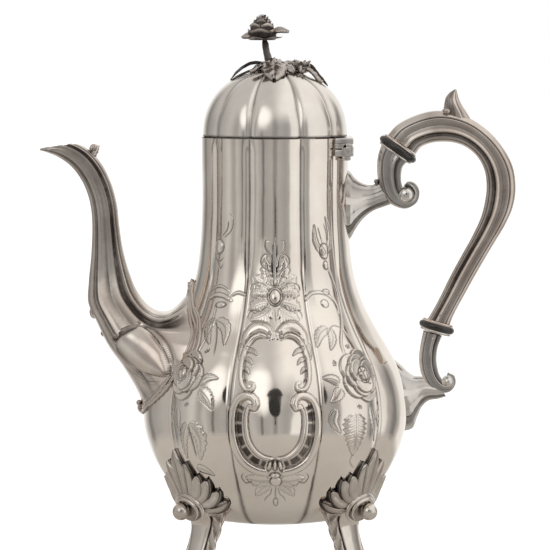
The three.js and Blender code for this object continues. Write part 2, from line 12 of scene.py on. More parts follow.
import bpy
import numpy as np
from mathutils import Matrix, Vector


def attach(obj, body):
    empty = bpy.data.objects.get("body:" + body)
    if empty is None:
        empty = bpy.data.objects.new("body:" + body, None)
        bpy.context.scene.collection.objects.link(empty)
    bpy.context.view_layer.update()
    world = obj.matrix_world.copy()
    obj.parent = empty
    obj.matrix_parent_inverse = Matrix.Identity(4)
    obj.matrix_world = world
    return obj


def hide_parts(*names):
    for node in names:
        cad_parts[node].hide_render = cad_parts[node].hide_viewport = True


MM = 0.001
WALL = 1.1  # sheet thickness of the body and the lid
FLUTE_FOOT = 34.5  # height up to which the flutes are plain
MOUTH = 220.4  # height of the neck's top edge
LID_BASE = 220.9
LID_RADIUS = 35.9
LID_RISE = 33.1
LID_ROUNDNESS = 2.25  # exponent of the lid's outline, where 2 is an ellipse
LID_TOP_RADIUS = 1.9  # radius of the hole for the finial
FLUTE_EDGES = np.array([-21.0, 21.0, 56.0, 124.0, 159.0, 201.0])  # bearings of the valleys
DIAGONAL = 38.5  # bearing of the crest of the front right flute
NECK_FLUTE, BELLY_FLUTE = 0.042, 0.062  # depth of a valley as a share of the radius
HALF_TURN = np.array([-1, -1, 1])  # moves a vertex to the other side of the pot
HINGE_AXIS = (36.2, 0, 215.2)  # a point on the hinge's axis, which runs along Y
TUBE_GUIDE = np.array([0.31, 0.93, 0.2])  # a direction that no tube runs along
SPOUT_COLUMNS = 240  # vertices round the spout
BODY_OUTLINE = [
    (24, 28.6), (33, 30.2), (40, 33.8), (46.6, 39.5), (55.3, 51.5), (61.3, 62.5), (65.0, 74.5),
    (65.8, 83), (64.8, 94), (61.2, 106), (56.2, 115.5), (49.6, 126.5), (43.6, 138.5), (39.4, 152),
    (37.3, 168), (36.4, 188), (36.6, 209), (36.7, MOUTH),
]  # radius and height of the crests
FINE_ROWS = [(FLUTE_FOOT, 1.3), (186, 0.28), (MOUTH, 1.6)]  # heights, and the row spacing below them
PLAIN_ROWS = [(FLUTE_FOOT, 2.5), (MOUTH, 2.5)]

VIEW_DISTANCE = 3000.0
VIEW_WIDTH = 275.0  # width of the picture at the pot's axis
VIEW_MIDDLE = 151.5  # height the camera looks at
VIEW_RISE = 3.1  # degrees above the horizontal
FLOOR_SIZE = 14  # metres
TABLE_RADIUS = 0.235  # metres
TABLE_FADE = 0.08  # metres over which the table's edge fades out
LID_MIRROR_HEIGHT = 0.2  # metres; silver above it mirrors no dark shape
WINDOW = (-0.44, -0.76, 0.47)  # direction of the soft bright spot that the lid mirrors
WALLS = [
    (-180, 0.9), (-162, 0.8), (-148, 0.45), (-137, 0.2), (-126, 0.34), (-100, 0.44), (-78, 0.56),
    (-60, 0.36), (-48, 0.5), (-35, 0.38), (-30, 0.14), (-25, 0.38), (-8, 0.42), (-2, 0.27), (2, 0.27),
    (8, 0.42), (27, 0.36), (34, 0.4), (42, 0.82), (62, 0.86), (100, 0.8), (109, 0.4), (122, 0.2),
    (131, 0.45), (142, 0.85), (180, 0.9),
]  # degrees from the camera's side towards the handle, and brightness
WALL_TINT = (1.12, 1.10, 1.06)
# the colour dark marks fade to, for patina and for painted shade alike
PATINA_AND_SHADE_COLOUR = (0.062, 0.05, 0.046)
TARNISH_FADES = (2.0, 2.6, 2.8)  # how much more a cloud dims red, green and blue

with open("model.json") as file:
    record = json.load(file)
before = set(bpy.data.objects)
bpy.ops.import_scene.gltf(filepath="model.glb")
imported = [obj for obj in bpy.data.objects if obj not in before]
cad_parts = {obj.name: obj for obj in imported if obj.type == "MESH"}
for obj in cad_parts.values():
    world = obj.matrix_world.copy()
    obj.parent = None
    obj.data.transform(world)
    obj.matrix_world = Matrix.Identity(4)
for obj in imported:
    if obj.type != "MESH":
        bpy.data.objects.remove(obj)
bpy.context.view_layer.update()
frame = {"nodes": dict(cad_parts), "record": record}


# ---- curves and meshes ---------------------------------------------------------------------------


def spline(points, samples=24):
    """A smooth curve through points of any dimension, as an array of evenly spread samples."""
    p = np.asarray(points, float)
    t = np.concatenate([[0], np.cumsum(np.sqrt(np.linalg.norm(np.diff(p, axis=0), axis=1)))])
    slope = np.gradient(p, t, axis=0)
    at = np.linspace(0, t[-1], max(samples, len(p)) * 4)
    i = np.clip(np.searchsorted(t, at, side="right") - 1, 0, len(p) - 2)
    step = (t[i + 1] - t[i])[:, None]
    k = (at - t[i])[:, None] / step
    fine = (
        (2 * k**3 - 3 * k**2 + 1) * p[i]
        + (k**3 - 2 * k**2 + k) * step * slope[i]
        + (3 * k**2 - 2 * k**3) * p[i + 1]
        + (k**3 - k**2) * step * slope[i + 1]
    )
    return resampled(fine, samples)


def travelled(path):
    """The length along a path at each of its points."""
    return np.concatenate([[0], np.cumsum(np.linalg.norm(np.diff(path, axis=0), axis=1))])


def resampled(path, samples):
    """The path again, with evenly spaced samples."""
    length = travelled(path)
    at = np.linspace(0, length[-1], samples)
    return np.stack([np.interp(at, length, path[:, d]) for d in range(path.shape[1])], axis=1)


def smoothstep(x, low, high):
    """0 below low and 1 above high, with a smooth step between them."""
    k = np.clip((x - low) / (high - low), 0, 1)
    return k * k * (3 - 2 * k)


def bell(x, width):
    """1 where x is 0, falling off on both sides."""
    return np.exp(-((x / width) ** 2))


def grid_faces(rows, columns, closed=False):
    """Quads of a grid of vertices, row by row. closed joins the last column to the first."""
    i, j = np.meshgrid(np.arange(rows - 1), np.arange(columns - (not closed)), indexing="ij")
    next_j = (j + 1) % columns
    quads = [i * columns + j, i * columns + next_j, (i + 1) * columns + next_j, (i + 1) * columns + j]
    return np.stack(quads, axis=-1).reshape(-1, 4)


def joined(shapes):
    """Several closed shapes as one shape."""
    vertices, faces, dark = zip(*shapes)
    starts = np.cumsum([0] + [len(v) for v in vertices])
    faces = [quads + start for quads, start in zip(faces, starts)]
    return np.concatenate(vertices), np.concatenate(faces), np.concatenate(dark)


def add_object(name, data):
    """A new object in the scene."""
    made = bpy.data.objects.new(name, data)
    bpy.context.scene.collection.objects.link(made)
    return made


def add_piece(name, shape, body, node_name, finish):
    """A smooth-shaded piece that rides on a body and stands for one of its CAD nodes."""
    vertices, faces, dark = shape
    material, slot = finish
    mesh = bpy.data.meshes.new(name)
    mesh.vertices.add(len(vertices))
    mesh.vertices.foreach_set("co", (vertices * MM).astype(np.float32).ravel())
    mesh.loops.add(faces.size)
    mesh.loops.foreach_set("vertex_index", faces.astype(np.int32).ravel())
    mesh.polygons.add(len(faces))
    mesh.polygons.foreach_set("loop_start", np.arange(0, faces.size, faces.shape[1], dtype=np.int32))
    mesh.polygons.foreach_set("use_smooth", np.ones(len(faces), dtype=bool))
    layer = mesh.attributes.new("dark", "FLOAT", "POINT")
    layer.data.foreach_set("value", dark.astype(np.float32))
    mesh.update(calc_edges=True)
    mesh.validate()
    mesh.materials.append(material)
    piece = add_object(name, mesh)
    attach(piece, body)
    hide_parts(node_name)


# ---- shader nodes --------------------------------------------------------------------------------


def node(tree, kind, inputs=None, **settings):
    """A shader node. inputs maps its sockets to values or to other nodes' outputs."""
    made = tree.nodes.new("ShaderNode" + kind)
    for setting, value in settings.items():
        setattr(made, setting, value)
    feed(tree, made, inputs or {})
    return made


def feed(tree, made, inputs):
    """Sets or links a node's input sockets."""
    for socket, value in inputs.items():
        if isinstance(value, bpy.types.NodeSocket):
            tree.links.new(value, made.inputs[socket])
        else:
            made.inputs[socket].default_value = value


def mapped(tree, value, low, high, start=0.0, end=1.0, smooth=False):
    """A value moved from the range low to high to the range start to end, and kept inside it."""
    inputs = {"Value": value, "From Min": low, "From Max": high, "To Min": start, "To Max": end}
    kind = "SMOOTHSTEP" if smooth else "LINEAR"
    return node(tree, "MapRange", inputs, interpolation_type=kind).outputs["Result"]


def calculated(tree, operation, *inputs, clamp=False):
    """The result of a Math node."""
    made = node(tree, "Math", dict(enumerate(inputs)), operation=operation, use_clamp=clamp)
    return made.outputs["Value"]


def ramp(tree, value, stops, interpolation="LINEAR"):
    """A colour that follows a value through stops: (position, colour) pairs."""
    made = node(tree, "ValToRGB", {"Fac": value})
    made.color_ramp.interpolation = interpolation
    elements = made.color_ramp.elements
    for _ in stops[2:]:
        elements.new(0.5)
    for element, (position, colour) in zip(elements, stops):
        element.position = position
        element.color = (*colour, 1)
    return made.outputs["Color"]


def mixed(tree, share, a, b):
    """Colour a where share is 0 and b where it is 1. Each is a colour or a socket."""
    a, b = [(*colour, 1) if isinstance(colour, tuple) else colour for colour in (a, b)]
    return node(tree, "Mix", {"Factor": share, "A": a, "B": b}, data_type="RGBA").outputs["Result"]


def noise(tree, scale, detail, **inputs):
    """The value of a noise texture."""
    inputs = {"Scale": scale, "Detail": detail, **inputs}
    return node(tree, "TexNoise", inputs).outputs["Fac"]


def bump(tree, height, strength, distance, **inputs):
    """A normal that a height has bent. distance is in metres."""
    inputs = {"Height": height, "Strength": strength, "Distance": distance, **inputs}
    return node(tree, "Bump", inputs).outputs["Normal"]


def new_material(name):
    """A new material, its node tree and its surface shader."""
    material = bpy.data.materials.new(name)
    material.use_nodes = True
    return material, material.node_tree, material.node_tree.nodes["Principled BSDF"]


# ---- materials -----------------------------------------------------------------------------------


def silver(name, tint, roughness, patina=0.0, mottle=0.05):
    """Silver with soft tarnish clouds, faint wiping marks, and patina or painted shade where a mesh is
    marked dark.
    """
    material, tree, shader = new_material(name)
    place = node(tree, "TexCoord").outputs["Object"]
    clouds = noise(tree, 38.0, 6.0, Vector=place, Roughness=0.62)
    clouded = tuple(c * (1 - fade * mottle) for c, fade in zip(tint, TARNISH_FADES))
    # the dark attribute: patina in engraved lines and hollows, and painted shade along the body's and lid's
    # valleys and inside the pot, the lid and the spout
    marks = node(tree, "Attribute", attribute_name="dark").outputs["Fac"]
    uneven = mapped(tree, clouds, 0.38, 0.62, 1.15, 0.75)
    hollows = 0.0
    if patina:
        hollows = mapped(tree, node(tree, "NewGeometry").outputs["Pointiness"], 0.5, 0.44, 0.0, patina)
    darkness = calculated(tree, "MULTIPLY_ADD", marks, uneven, hollows, clamp=True)
    bare_roughness = mapped(tree, clouds, 0.3, 0.7, roughness * 1.35, roughness * 0.75)
    along = node(tree, "Mapping", {"Vector": place, "Scale": (1.0, 1.0, 0.18)}).outputs["Vector"]
    wiping = bump(tree, noise(tree, 900.0, 3.0, Vector=along), 0.05, 0.00006)
    bare_silver = ramp(tree, clouds, [(0.33, clouded), (0.66, tint)])
    feed(tree, shader, {
        "Metallic": 1.0,
        "Base Color": mixed(tree, darkness, bare_silver, PATINA_AND_SHADE_COLOUR),
        "Roughness": calculated(tree, "MULTIPLY_ADD", darkness, 0.35, bare_roughness),
        "Normal": bump(tree, noise(tree, 75.0, 1.5, Vector=place), 1.0, 0.00022, Normal=wiping),
    })
    return material


def ebonite(name):
    """Polished black with a faint brown cloud and uneven gloss."""
    material, tree, shader = new_material(name)
    clouds = noise(tree, 160.0, 5.0)
    feed(tree, shader, {
        "IOR": 1.6,
        "Base Color": ramp(tree, clouds, [(0, (0.006, 0.006, 0.007)), (1, (0.022, 0.018, 0.016))]),
        "Roughness": mapped(tree, clouds, 0, 1, 0.14, 0.34),
    })
    return material


# ---- body ----------------------------------------------------------------------------------------

BODY_PATH = spline(BODY_OUTLINE, 1200)


def crest_radius(z):
    """The body's radius on a crest at a height, above the flat of its base."""
    return np.interp(z, BODY_PATH[:, 1], BODY_PATH[:, 0])


def flute_fraction(bearing):
    """0 on a flute's crest, 1 in the valleys beside it."""
    turned = (np.asarray(bearing) + 21) % 360 - 21
    turned = np.where(turned > FLUTE_EDGES[-1], 360 - turned, turned)
    i = np.clip(np.searchsorted(FLUTE_EDGES, turned, side="right"), 1, len(FLUTE_EDGES) - 1)
    low, high = FLUTE_EDGES[i - 1], FLUTE_EDGES[i]
    return np.abs(turned - (low + high) / 2) / ((high - low) / 2)


def flute_share(bearing, z):
    """The share of the crest radius that is left at a bearing."""
    depth = NECK_FLUTE + (BELLY_FLUTE - NECK_FLUTE) * smoothstep(170 - z, 0, 60)
    return 1 - depth * flute_fraction(bearing) ** 2 * smoothstep(z, 29.5, 46)


def seen_height(z, depth):
    """The height at which the camera sees a point, read off the plane through the pot's axis."""
    rise = math.radians(VIEW_RISE) - (z - VIEW_MIDDLE) / VIEW_DISTANCE
    return z - depth * np.tan(rise)


def body_rows(steps):
    """Radius, height and outward normal of rows up the body's outline.

    steps holds (height, spacing of the rows below it) pairs.
    """
    length = travelled(BODY_PATH)
    stations, start = [], 0.0
    for height, spacing in steps:
        end = np.interp(height, BODY_PATH[:, 1], length)
        count = max(2, int(round((end - start) / spacing)))
        stations.append(np.linspace(start, end, count, endpoint=False))
        start = end
    at = np.concatenate([*stations, [length[-1]]])
    r = np.interp(at, length, BODY_PATH[:, 0])
    z = np.interp(at, length, BODY_PATH[:, 1])
    normal = np.stack([np.gradient(z, at), -np.gradient(r, at)])
    return r, z, normal / np.hypot(*normal)


def valley_marks(beside, z):
    """Height of the bead and channel, and darkness of the painted shade along the valley, at a distance
    from a panel's nearest edge.
    """
    # painted shade: a dark line drawn along each valley
    valley_shade = 0.8 * bell(beside, 0.42 + 0.8 * smoothstep(56 - z, 0, 16))
    bead = bell(beside - 1.25, 0.55) * smoothstep(z, 44, 60) * smoothstep(160 - z, 0, 25)
    channel = bell(beside, 1.9 * smoothstep(z, 140, 172) + 0.05) * smoothstep(z, 140, 150)
    return 0.22 * bead - 0.55 * channel * (1 - smoothstep(z, MOUTH - 6, MOUTH - 1)), valley_shade


def body_surface(bearings, steps, ornament=None, offset=0.0):
    """The body's skin over a range of bearings. An ornamented panel has a bead, a channel and painted shade
    along the valleys at its edges.
    """
    r, z, (out_r, out_z) = body_rows(steps)
    bearing, row_z = np.meshgrid(bearings, z)
    row_r = np.broadcast_to(r[:, None], bearing.shape)
    height, dark = np.full(bearing.shape, offset), np.zeros(bearing.shape)
    if ornament:
        height, dark = ornament(bearing, row_z, row_r)
        beside = np.radians(np.minimum(bearing - bearings[0], bearings[-1] - bearing)) * row_r
        raised, valley_shade = valley_marks(beside, row_z)
        height = height + raised
        # the valleys get painted shade along them
        dark = np.maximum(dark, valley_shade)
    radius = row_r * flute_share(bearing, row_z) + height * out_r[:, None]
    level = row_z + height * out_z[:, None]
    angle = np.radians(bearing)
    vertices = np.stack([radius * np.sin(angle), -radius * np.cos(angle), level], axis=-1)
    return vertices.reshape(-1, 3), grid_faces(*bearing.shape), dark.ravel()


# ---- ornament ------------------------------------------------------------------------------------
class Relief:
    """Raised and engraved ornament on a panel, over flat points (s, z) in millimetres."""

    def __init__(self, s, z):
        self.points = np.stack([s.ravel(), z.ravel()], axis=1)
        self.shape = s.shape
        self.height = np.zeros(len(self.points))
        self.dark = np.zeros(len(self.points))

    def result(self):
        """The height and darkness of every point."""
        return self.height.reshape(self.shape), self.dark.reshape(self.shape)

    def along(self, path, reach):
        """Points within reach of a path: indices, distances, and shares along it."""
        low, high = path.min(axis=0) - reach, path.max(axis=0) + reach
        picked = np.flatnonzero(((self.points > low) & (self.points < high)).all(axis=1))
        p = self.points[picked]
        distance, share = np.full(len(p), np.inf), np.zeros(len(p))
        for i, (a, b) in enumerate(zip(path[:-1], path[1:])):
            ab = b - a
            k = np.clip((p - a) @ ab / (ab @ ab), 0, 1)
            off = p - a - k[:, None] * ab
            d = np.hypot(off[:, 0], off[:, 1])
            closer = d < distance
            distance[closer] = d[closer]
            share[closer] = (i + k[closer]) / (len(path) - 1)
        return picked, distance, share

    def raise_to(self, picked, height):
        """Lifts what lies lower than a height."""
        self.height[picked] = np.maximum(self.height[picked], height)

    def engrave(self, picked, line, depth, dark):
        """Sinks and darkens the points where line isn't 0."""
        self.height[picked] -= depth * line
        self.dark[picked] = np.maximum(self.dark[picked], dark * line)

    def groove(self, points, width=0.3, depth=0.22, dark=0.75, samples=24):
        """An engraved line that thins out at both ends."""
        picked, distance, share = self.along(spline(points, samples), 4 * width)
        taper = smoothstep(share, -0.02, 0.12) * smoothstep(1 - share, -0.02, 0.2)
        self.engrave(picked, bell(distance, width * (0.5 + 0.5 * taper)) * taper, depth, dark)

    def ridge(self, points, half_widths, height, taper=0.12):
        """A half-round band with an engraved outline. half_widths holds its start, middle and end."""
        picked, distance, share = self.along(spline(points, 30), max(half_widths) + 1.2)
        half = np.interp(share, [0, 0.5, 1], half_widths)
        ends = smoothstep(share, -0.01, taper) * smoothstep(1 - share, -0.01, taper)
        v = np.clip(distance / half, 0, 1)
        self.raise_to(picked, height * np.sqrt(1 - v**2) * (0.25 + 0.75 * ends) * (v < 1))
        rim = bell(distance - half - 0.12, 0.24) * (0.3 + 0.7 * ends)
        self.engrave(picked, rim, 0.16, 0.8)

    def mound(self, centre, radii, height, turn=0.0, outline=0.8, power=0.5):
        """An oval boss."""
        angle = math.radians(turn)
        off = self.points - np.asarray(centre, float)
        across = off[:, 0] * math.cos(angle) + off[:, 1] * math.sin(angle)
        up = off[:, 1] * math.cos(angle) - off[:, 0] * math.sin(angle)
        v = np.hypot(across / radii[0], up / radii[1])
        picked = np.flatnonzero(v < 1.6)
        inside = np.clip(v[picked], 0, 1)
        self.raise_to(picked, height * (1 - inside**2) ** power * (inside < 1))
        rim = bell((v[picked] - 1) * min(radii), 0.26)
        self.engrave(picked, rim, 0.15, outline)

    def leaf(self, points, widest, height, veins=7, serration=0.16, tip=0.55, outline=0.8):
        """A leaf with a midrib, side veins and a notched edge. tip moves its widest part."""
        picked, distance, share = self.along(spline(points, 26), widest + 1.5)
        swell = np.sin(np.pi * np.clip(share, 0, 1) ** tip) ** 0.75
        notch = 1 + serration * (np.abs(((share * veins) % 1) - 0.5) * 2 - 0.5)
        half = np.maximum(widest * swell * notch, 0.05)
        v = np.clip(distance / half, 0, 1)
        dome = height * (1 - v**2.4) * (v < 1)
        vein = np.sin(2 * np.pi * (share * veins - 0.9 * v)) ** 2 * smoothstep(v, 0.1, 0.4)
        self.raise_to(picked, dome * (1 - 0.22 * vein))
        midrib = bell(distance, 0.24) * smoothstep(1 - share, 0.05, 0.3)
        rim = bell(distance - half - 0.1, 0.24) * (share < 0.995) * (share > 0.005)
        self.engrave(picked, midrib, 0.16, outline * 0.8)
        self.engrave(picked, rim, 0.17, outline)
        between = (1 - vein) ** 8 * (v < 0.93) * (v > 0.12) * (height > 0.25)
        self.engrave(picked, between, 0.05, outline * 0.5)

    def shield(self, points, widest, height):
        """A smooth boss with a blunt start and a pointed end."""
        picked, distance, share = self.along(spline(points, 40), widest + 2)
        half = np.maximum(widest * np.sin(np.pi * np.clip(share, 0, 1) ** 0.62) ** 0.62, 0.05)
        v = np.clip(distance / half, 0, 1)
        self.raise_to(picked, height * np.sqrt(1 - v**2) * (v < 1))
        rim = bell(distance - half - 0.3, 0.42) * (share > 0.01) * (share < 0.995)
        self.engrave(picked, rim, 0.4, 0.9)

    def channel(self, points, half, bars):
        """A sunk, tarnished channel crossed by small bright bars."""
        picked, distance, share = self.along(spline(points, 40), half + 1)
        inside = 1 - smoothstep(distance, half - 0.35, half)
        ends = smoothstep(share, 0, 0.015) * smoothstep(1 - share, 0, 0.015)
        bar = bell((share * bars % 1) - 0.5, 1 / 9)
        height, dark = self.height[picked], self.dark[picked]
        sunk = np.where(inside > 0, np.minimum(height, 0.35 * (1 - inside) - 0.35), height)
        self.height[picked] = sunk + inside * bar * 0.4
        self.dark[picked] = np.maximum(dark * (1 - inside), inside * ends * (0.85 - 0.55 * bar))

    def ticks(self, centre, direction):
        """Three short punched drops that fan out."""
        for spread in (-28, 0, 28):
            angle = math.radians(direction + spread)
            way = np.array([math.cos(angle), math.sin(angle)])
            start, end = np.asarray(centre) + 0.9 * way, np.asarray(centre) + 3.1 * way
            self.groove([start, (start + end) / 2, end], width=0.42, depth=0.3, dark=0.85, samples=8)

    def rose(self, centre, radius, turn=0.0):
        """A full-blown rose: rings of cupped petals round a coiled bud."""
        rings = [(5, 0.58, 0.53, 0.2, 1.1), (5, 0.44, 0.44, 1.0, 1.0), (3, 0.30, 0.42, 1.7, 0.8)]
        for count, place, size, level, rim in rings:
            turn += 34
            for i in range(count):
                angle = math.radians(turn + 360 * i / count)
                way = np.array([math.cos(angle), math.sin(angle)])
                middle = np.asarray(centre) + radius * place * way
                self.petal(middle, radius * size, way, level, rim)
        bud = radius * 0.33
        self.mound(centre, (bud, bud), 3.6, outline=1.0)
        coil = []
        for i in range(14):
            angle, reach = math.radians(turn + 40 * i), bud * (0.92 - 0.06 * i)
            coil.append((centre[0] + reach * math.cos(angle), centre[1] + reach * math.sin(angle)))
        self.groove(coil, width=0.26, depth=0.3, dark=0.9, samples=60)

    def petal(self, middle, size, way, level, rim):
        """A cupped petal that covers what lies lower, turned the way it points."""
        off = self.points - middle
        out = off @ way
        along = off @ np.array([-way[1], way[0]])
        v = np.hypot(out, along / 1.12) / size
        picked = np.flatnonzero(v < 1.35)
        inside = v[picked]
        tilt = 0.34 * along[picked] / size + 0.3 * out[picked] / size
        cup = level + 0.35 + rim * inside**3 * 0.75 + tilt
        shape = np.where(inside < 1, cup, 0) * (1 - smoothstep(inside, 0.93, 1.0) * 0.35)
        covers = (inside < 1) & (shape > self.height[picked])
        over = picked[covers]
        self.dark[over] *= 0.15
        self.height[over] = shape[covers]
        edge = bell((inside - 1.03) * size, 0.3) * (self.height[picked] < level + 0.9)
        self.engrave(picked, edge, 0.12, 0.8)


def mirrored(points, side):
    """The points on the right of a panel for side 1, and on its left for side -1."""
    return [(side * s, z) for s, z in points]


def front_scrolls(panel, side):
    """Half of the cartouche: the upper shoulder, the C-scroll below it and the big framing scroll."""

    def place(*points):
        return mirrored(points, side)

    shoulder = place((1.4, 121.2), (4.4, 124.6), (9, 125.5), (13.4, 122.4), (15.8, 116.5))
    panel.ridge(shoulder, (2.2, 3.0, 1.7), 1.9)
    panel.ridge(
        place(
            (3.0, 119.6), (5.8, 120.9), (9.8, 120.2), (13.4, 116.8), (16.0, 110.5), (17.3, 103.4),
            (16.8, 97.0), (14.2, 93.6), (11.2, 94.2), (10.9, 96.8), (12.4, 97.4),
        ),
        (1.0, 1.5, 0.9), 1.9,
    )
    panel.mound(place((3.2, 120.4))[0], (1.1, 1.0), 1.7)
    panel.groove(place((14.9, 111), (15.4, 104), (15.2, 98.6), (13.9, 96)), width=0.75, depth=0.5, dark=0.8)
    for start, bend, end in (
        ((14.6, 113.6), (11.6, 113.6), (8.6, 110.9)),
        ((15.6, 109.2), (13, 108.8), (11, 106.2)),
        ((16.2, 104.6), (14.4, 104), (12.9, 101.6)),
        ((17, 117), (18.2, 113), (18.4, 108.5)),
    ):
        panel.leaf(place(start, bend, end), 1.25, 0.75, veins=3, serration=0.1)
    panel.ridge(
        place(
            (12.4, 85.2), (11.2, 84.5), (9.7, 85.5), (9.5, 87.9), (11.2, 90.3), (14.6, 91.0), (18.6, 88.9),
            (21.2, 84.4), (22.1, 78), (21.8, 71), (19.8, 63.9), (15.6, 57.7), (9, 53.8), (1.5, 52.6),
        ),
        (1.7, 2.3, 1.9), 2.6, taper=0.05,
    )
    channel = place((16.5, 86), (17.9, 82), (18.3, 77), (17.6, 70), (15, 63.9), (10.4, 58.9), (4.4, 56.4))
    panel.channel(channel, 1.7, bars=6)
    panel.ridge(
        place((13.6, 85), (14.6, 80), (14.4, 74), (13.1, 68.2), (9.9, 63.3), (5.4, 60.2), (0.6, 59.2)),
        (0.9, 1.1, 1.0), 1.7, taper=0.05,
    )


def front_leaves(panel, side):
    """Half of the acanthus above the cartouche and of the garland below it."""
    for stem, widest, height in (
        [[(1.8, 134.4), (6, 131), (12.6, 128.6)], 4.4, 0.8],
        [[(2.4, 137.6), (7.4, 136.6), (13.4, 134)], 4.2, 1.0],
        [[(2.6, 142), (7.2, 142.6), (12.6, 141.4)], 3.6, 1.0],
        [[(2.2, 144.2), (6, 147.4), (10.8, 151)], 4.4, 0.8],
        [[(1.6, 146), (4.2, 152), (4.8, 160)], 2.6, 0.5],
        [[(2.4, 48.8), (8, 48.4), (15.2, 50)], 2.8, 0.6],
        [[(2, 46.6), (6.4, 44.6), (9.6, 40.6)], 2.6, 0.5],
    ):
        panel.leaf(mirrored(stem, side), widest, height, veins=5, serration=0.34, tip=0.85, outline=0.55)
    for line in (
        [(1.4, 149), (3.4, 153.4), (6.4, 155.8), (6.8, 159.6), (4.6, 161.8), (3, 159.4)],
        [(0.6, 155), (1.6, 160.6), (4.6, 165), (4.4, 168.6), (2.2, 168.4)],
        [(3.4, 145.6), (8.2, 147.4), (11.8, 146.2), (12.4, 143.4), (10.8, 142.6)],
        [(3.2, 135.8), (7.4, 133.2), (12.4, 133.4), (14, 130.4), (12.6, 128.6)],
        [(0.4, 121.4), (3.4, 126), (8.8, 127.2), (13, 124.6), (15.8, 120)],
        [(11, 48.6), (14.8, 47), (17.2, 50.4), (15.4, 52.4)],
        [(1.4, 45.4), (2.4, 41.6), (4.4, 39.8), (5.4, 37.4)],
    ):
        panel.groove(mirrored(line, side))


def front_ornament(bearing, z, r):
    """Cartouche of C-scrolls under an oval boss and acanthus, with a flower below."""
    panel = Relief(r * np.sin(np.radians(bearing)), seen_height(z, r * np.cos(np.radians(bearing))))
    panel.mound((0, 72), (16, 20), 1.1, outline=0, power=2.0)
    for side in (-1, 1):
        front_leaves(panel, side)
        front_scrolls(panel, side)
    panel.mound((0, 140.5), (3.7, 4.7), 0.8, outline=0.9)
    panel.mound((0, 140.5), (2.8, 3.7), 1.9, outline=1.0)
    panel.groove([(0, 147), (-0.3, 158), (0.3, 171)])
    panel.groove([(0, 134), (0.2, 128)], width=0.4)
    for s, lean in ((-2.6, -14), (0, 0), (2.6, 14)):
        panel.mound((s, 56.4), (1.15, 2.6), 2.6, turn=lean)
    panel.mound((0, 51.6), (2.6, 1.3), 2.4)
    panel.mound((0.4, 48.2), (2.9, 2.4), 1.5, outline=1.0)
    panel.groove([(0.4, 45.6), (0.2, 42), (0.3, 39.4)], width=0.4)
    panel.mound((0.3, 37.8), (1.1, 1.9), 0.8)
    return panel.result()


def diagonal_panel(bearing, z, r):
    """A relief over a diagonal flute, and a function that places what is seen from the front on it."""
    seen_z = seen_height(z, r * np.cos(np.radians(bearing)))
    panel = Relief(np.radians(np.abs(bearing) - DIAGONAL) * r, seen_z)

    def seen(*points):
        placed = []
        for x, height in points:
            radius = crest_radius(height)
            angle = math.degrees(math.asin(min(0.995, x / (0.975 * radius))))
            placed.append((math.radians(angle - DIAGONAL) * radius, height))
        return placed

    return panel, seen


def right_ornament(bearing, z, r):
    """A rose on a stem that climbs to a bud, with engraved leaves."""
    panel, seen = diagonal_panel(bearing, z, r)
    panel.leaf(seen((32, 97.5), (28.6, 99.2), (24.4, 99.6)), 2.3, 0.5)
    panel.leaf(seen((32.6, 94.5), (30.6, 90.4), (27.6, 87.4)), 2.6, 0.5)
    panel.leaf(seen((38.6, 82), (38.2, 73), (36.2, 61)), 6.6, 0.85, veins=8, serration=0.26)
    panel.groove(seen((36.4, 62), (34.8, 58), (36.6, 54.4)))
    panel.leaf(seen((51, 83.5), (52.8, 77), (52.6, 67)), 3.4, 0.5)
    panel.leaf(seen((46.4, 85), (48.2, 77), (48.8, 68)), 2.0, 0.4)
    panel.leaf(seen((30, 84), (28.6, 78), (31.4, 72)), 2.2, 0.3)
    panel.rose(seen((42.5, 101))[0], 11.9, turn=40)
    panel.ridge(
        seen((35, 110.5), (32.8, 117), (33, 125), (32.6, 133), (30.4, 143), (27.8, 150), (25.2, 156)),
        (0.75, 0.6, 0.5), 0.6,
    )
    panel.groove(seen((33.2, 124.5), (37.4, 119.6), (41.2, 113.4)))
    panel.groove(seen((32.6, 125.4), (28.6, 126), (26.4, 122)))
    panel.leaf(seen((26.2, 125), (23.2, 122), (22, 115)), 2.2, 0.5)
    panel.leaf(seen((27, 125), (28.8, 120.4), (28.2, 113.6)), 2.1, 0.5)
    arch = seen((15.4, 138.6), (18.6, 142.2), (24, 142.4), (29, 138.6), (31.8, 132.6))
    panel.ridge(arch, (0.6, 0.8, 0.5), 0.55)
    panel.mound(seen((25, 143))[0], (2.2, 1.5), 0.6)
    panel.mound(seen((24.6, 137.2))[0], (2.2, 2.0), 0.5)
    panel.mound(seen((24.6, 156.4))[0], (1.6, 2.2), 0.9)
    panel.leaf(seen((23.4, 161.5), (19.8, 168), (18.9, 177)), 1.6, 0.4, veins=4)
    panel.leaf(seen((25, 161.5), (26.7, 170), (24.2, 181)), 1.7, 0.4, veins=4)
    panel.groove(seen((23.2, 166), (21.6, 172), (20.4, 176.4)))
    panel.groove(seen((25.2, 166), (25, 172), (23.4, 178)))
    panel.mound(seen((23.8, 163.4))[0], (3.1, 4.0), 1.4)
    for centre, direction in (((37, 114), 100), ((31.6, 106.6), 160), ((41.4, 87.2), 250), ((52, 89), 300)):
        panel.ticks(seen(centre)[0], direction)
    return panel.result()


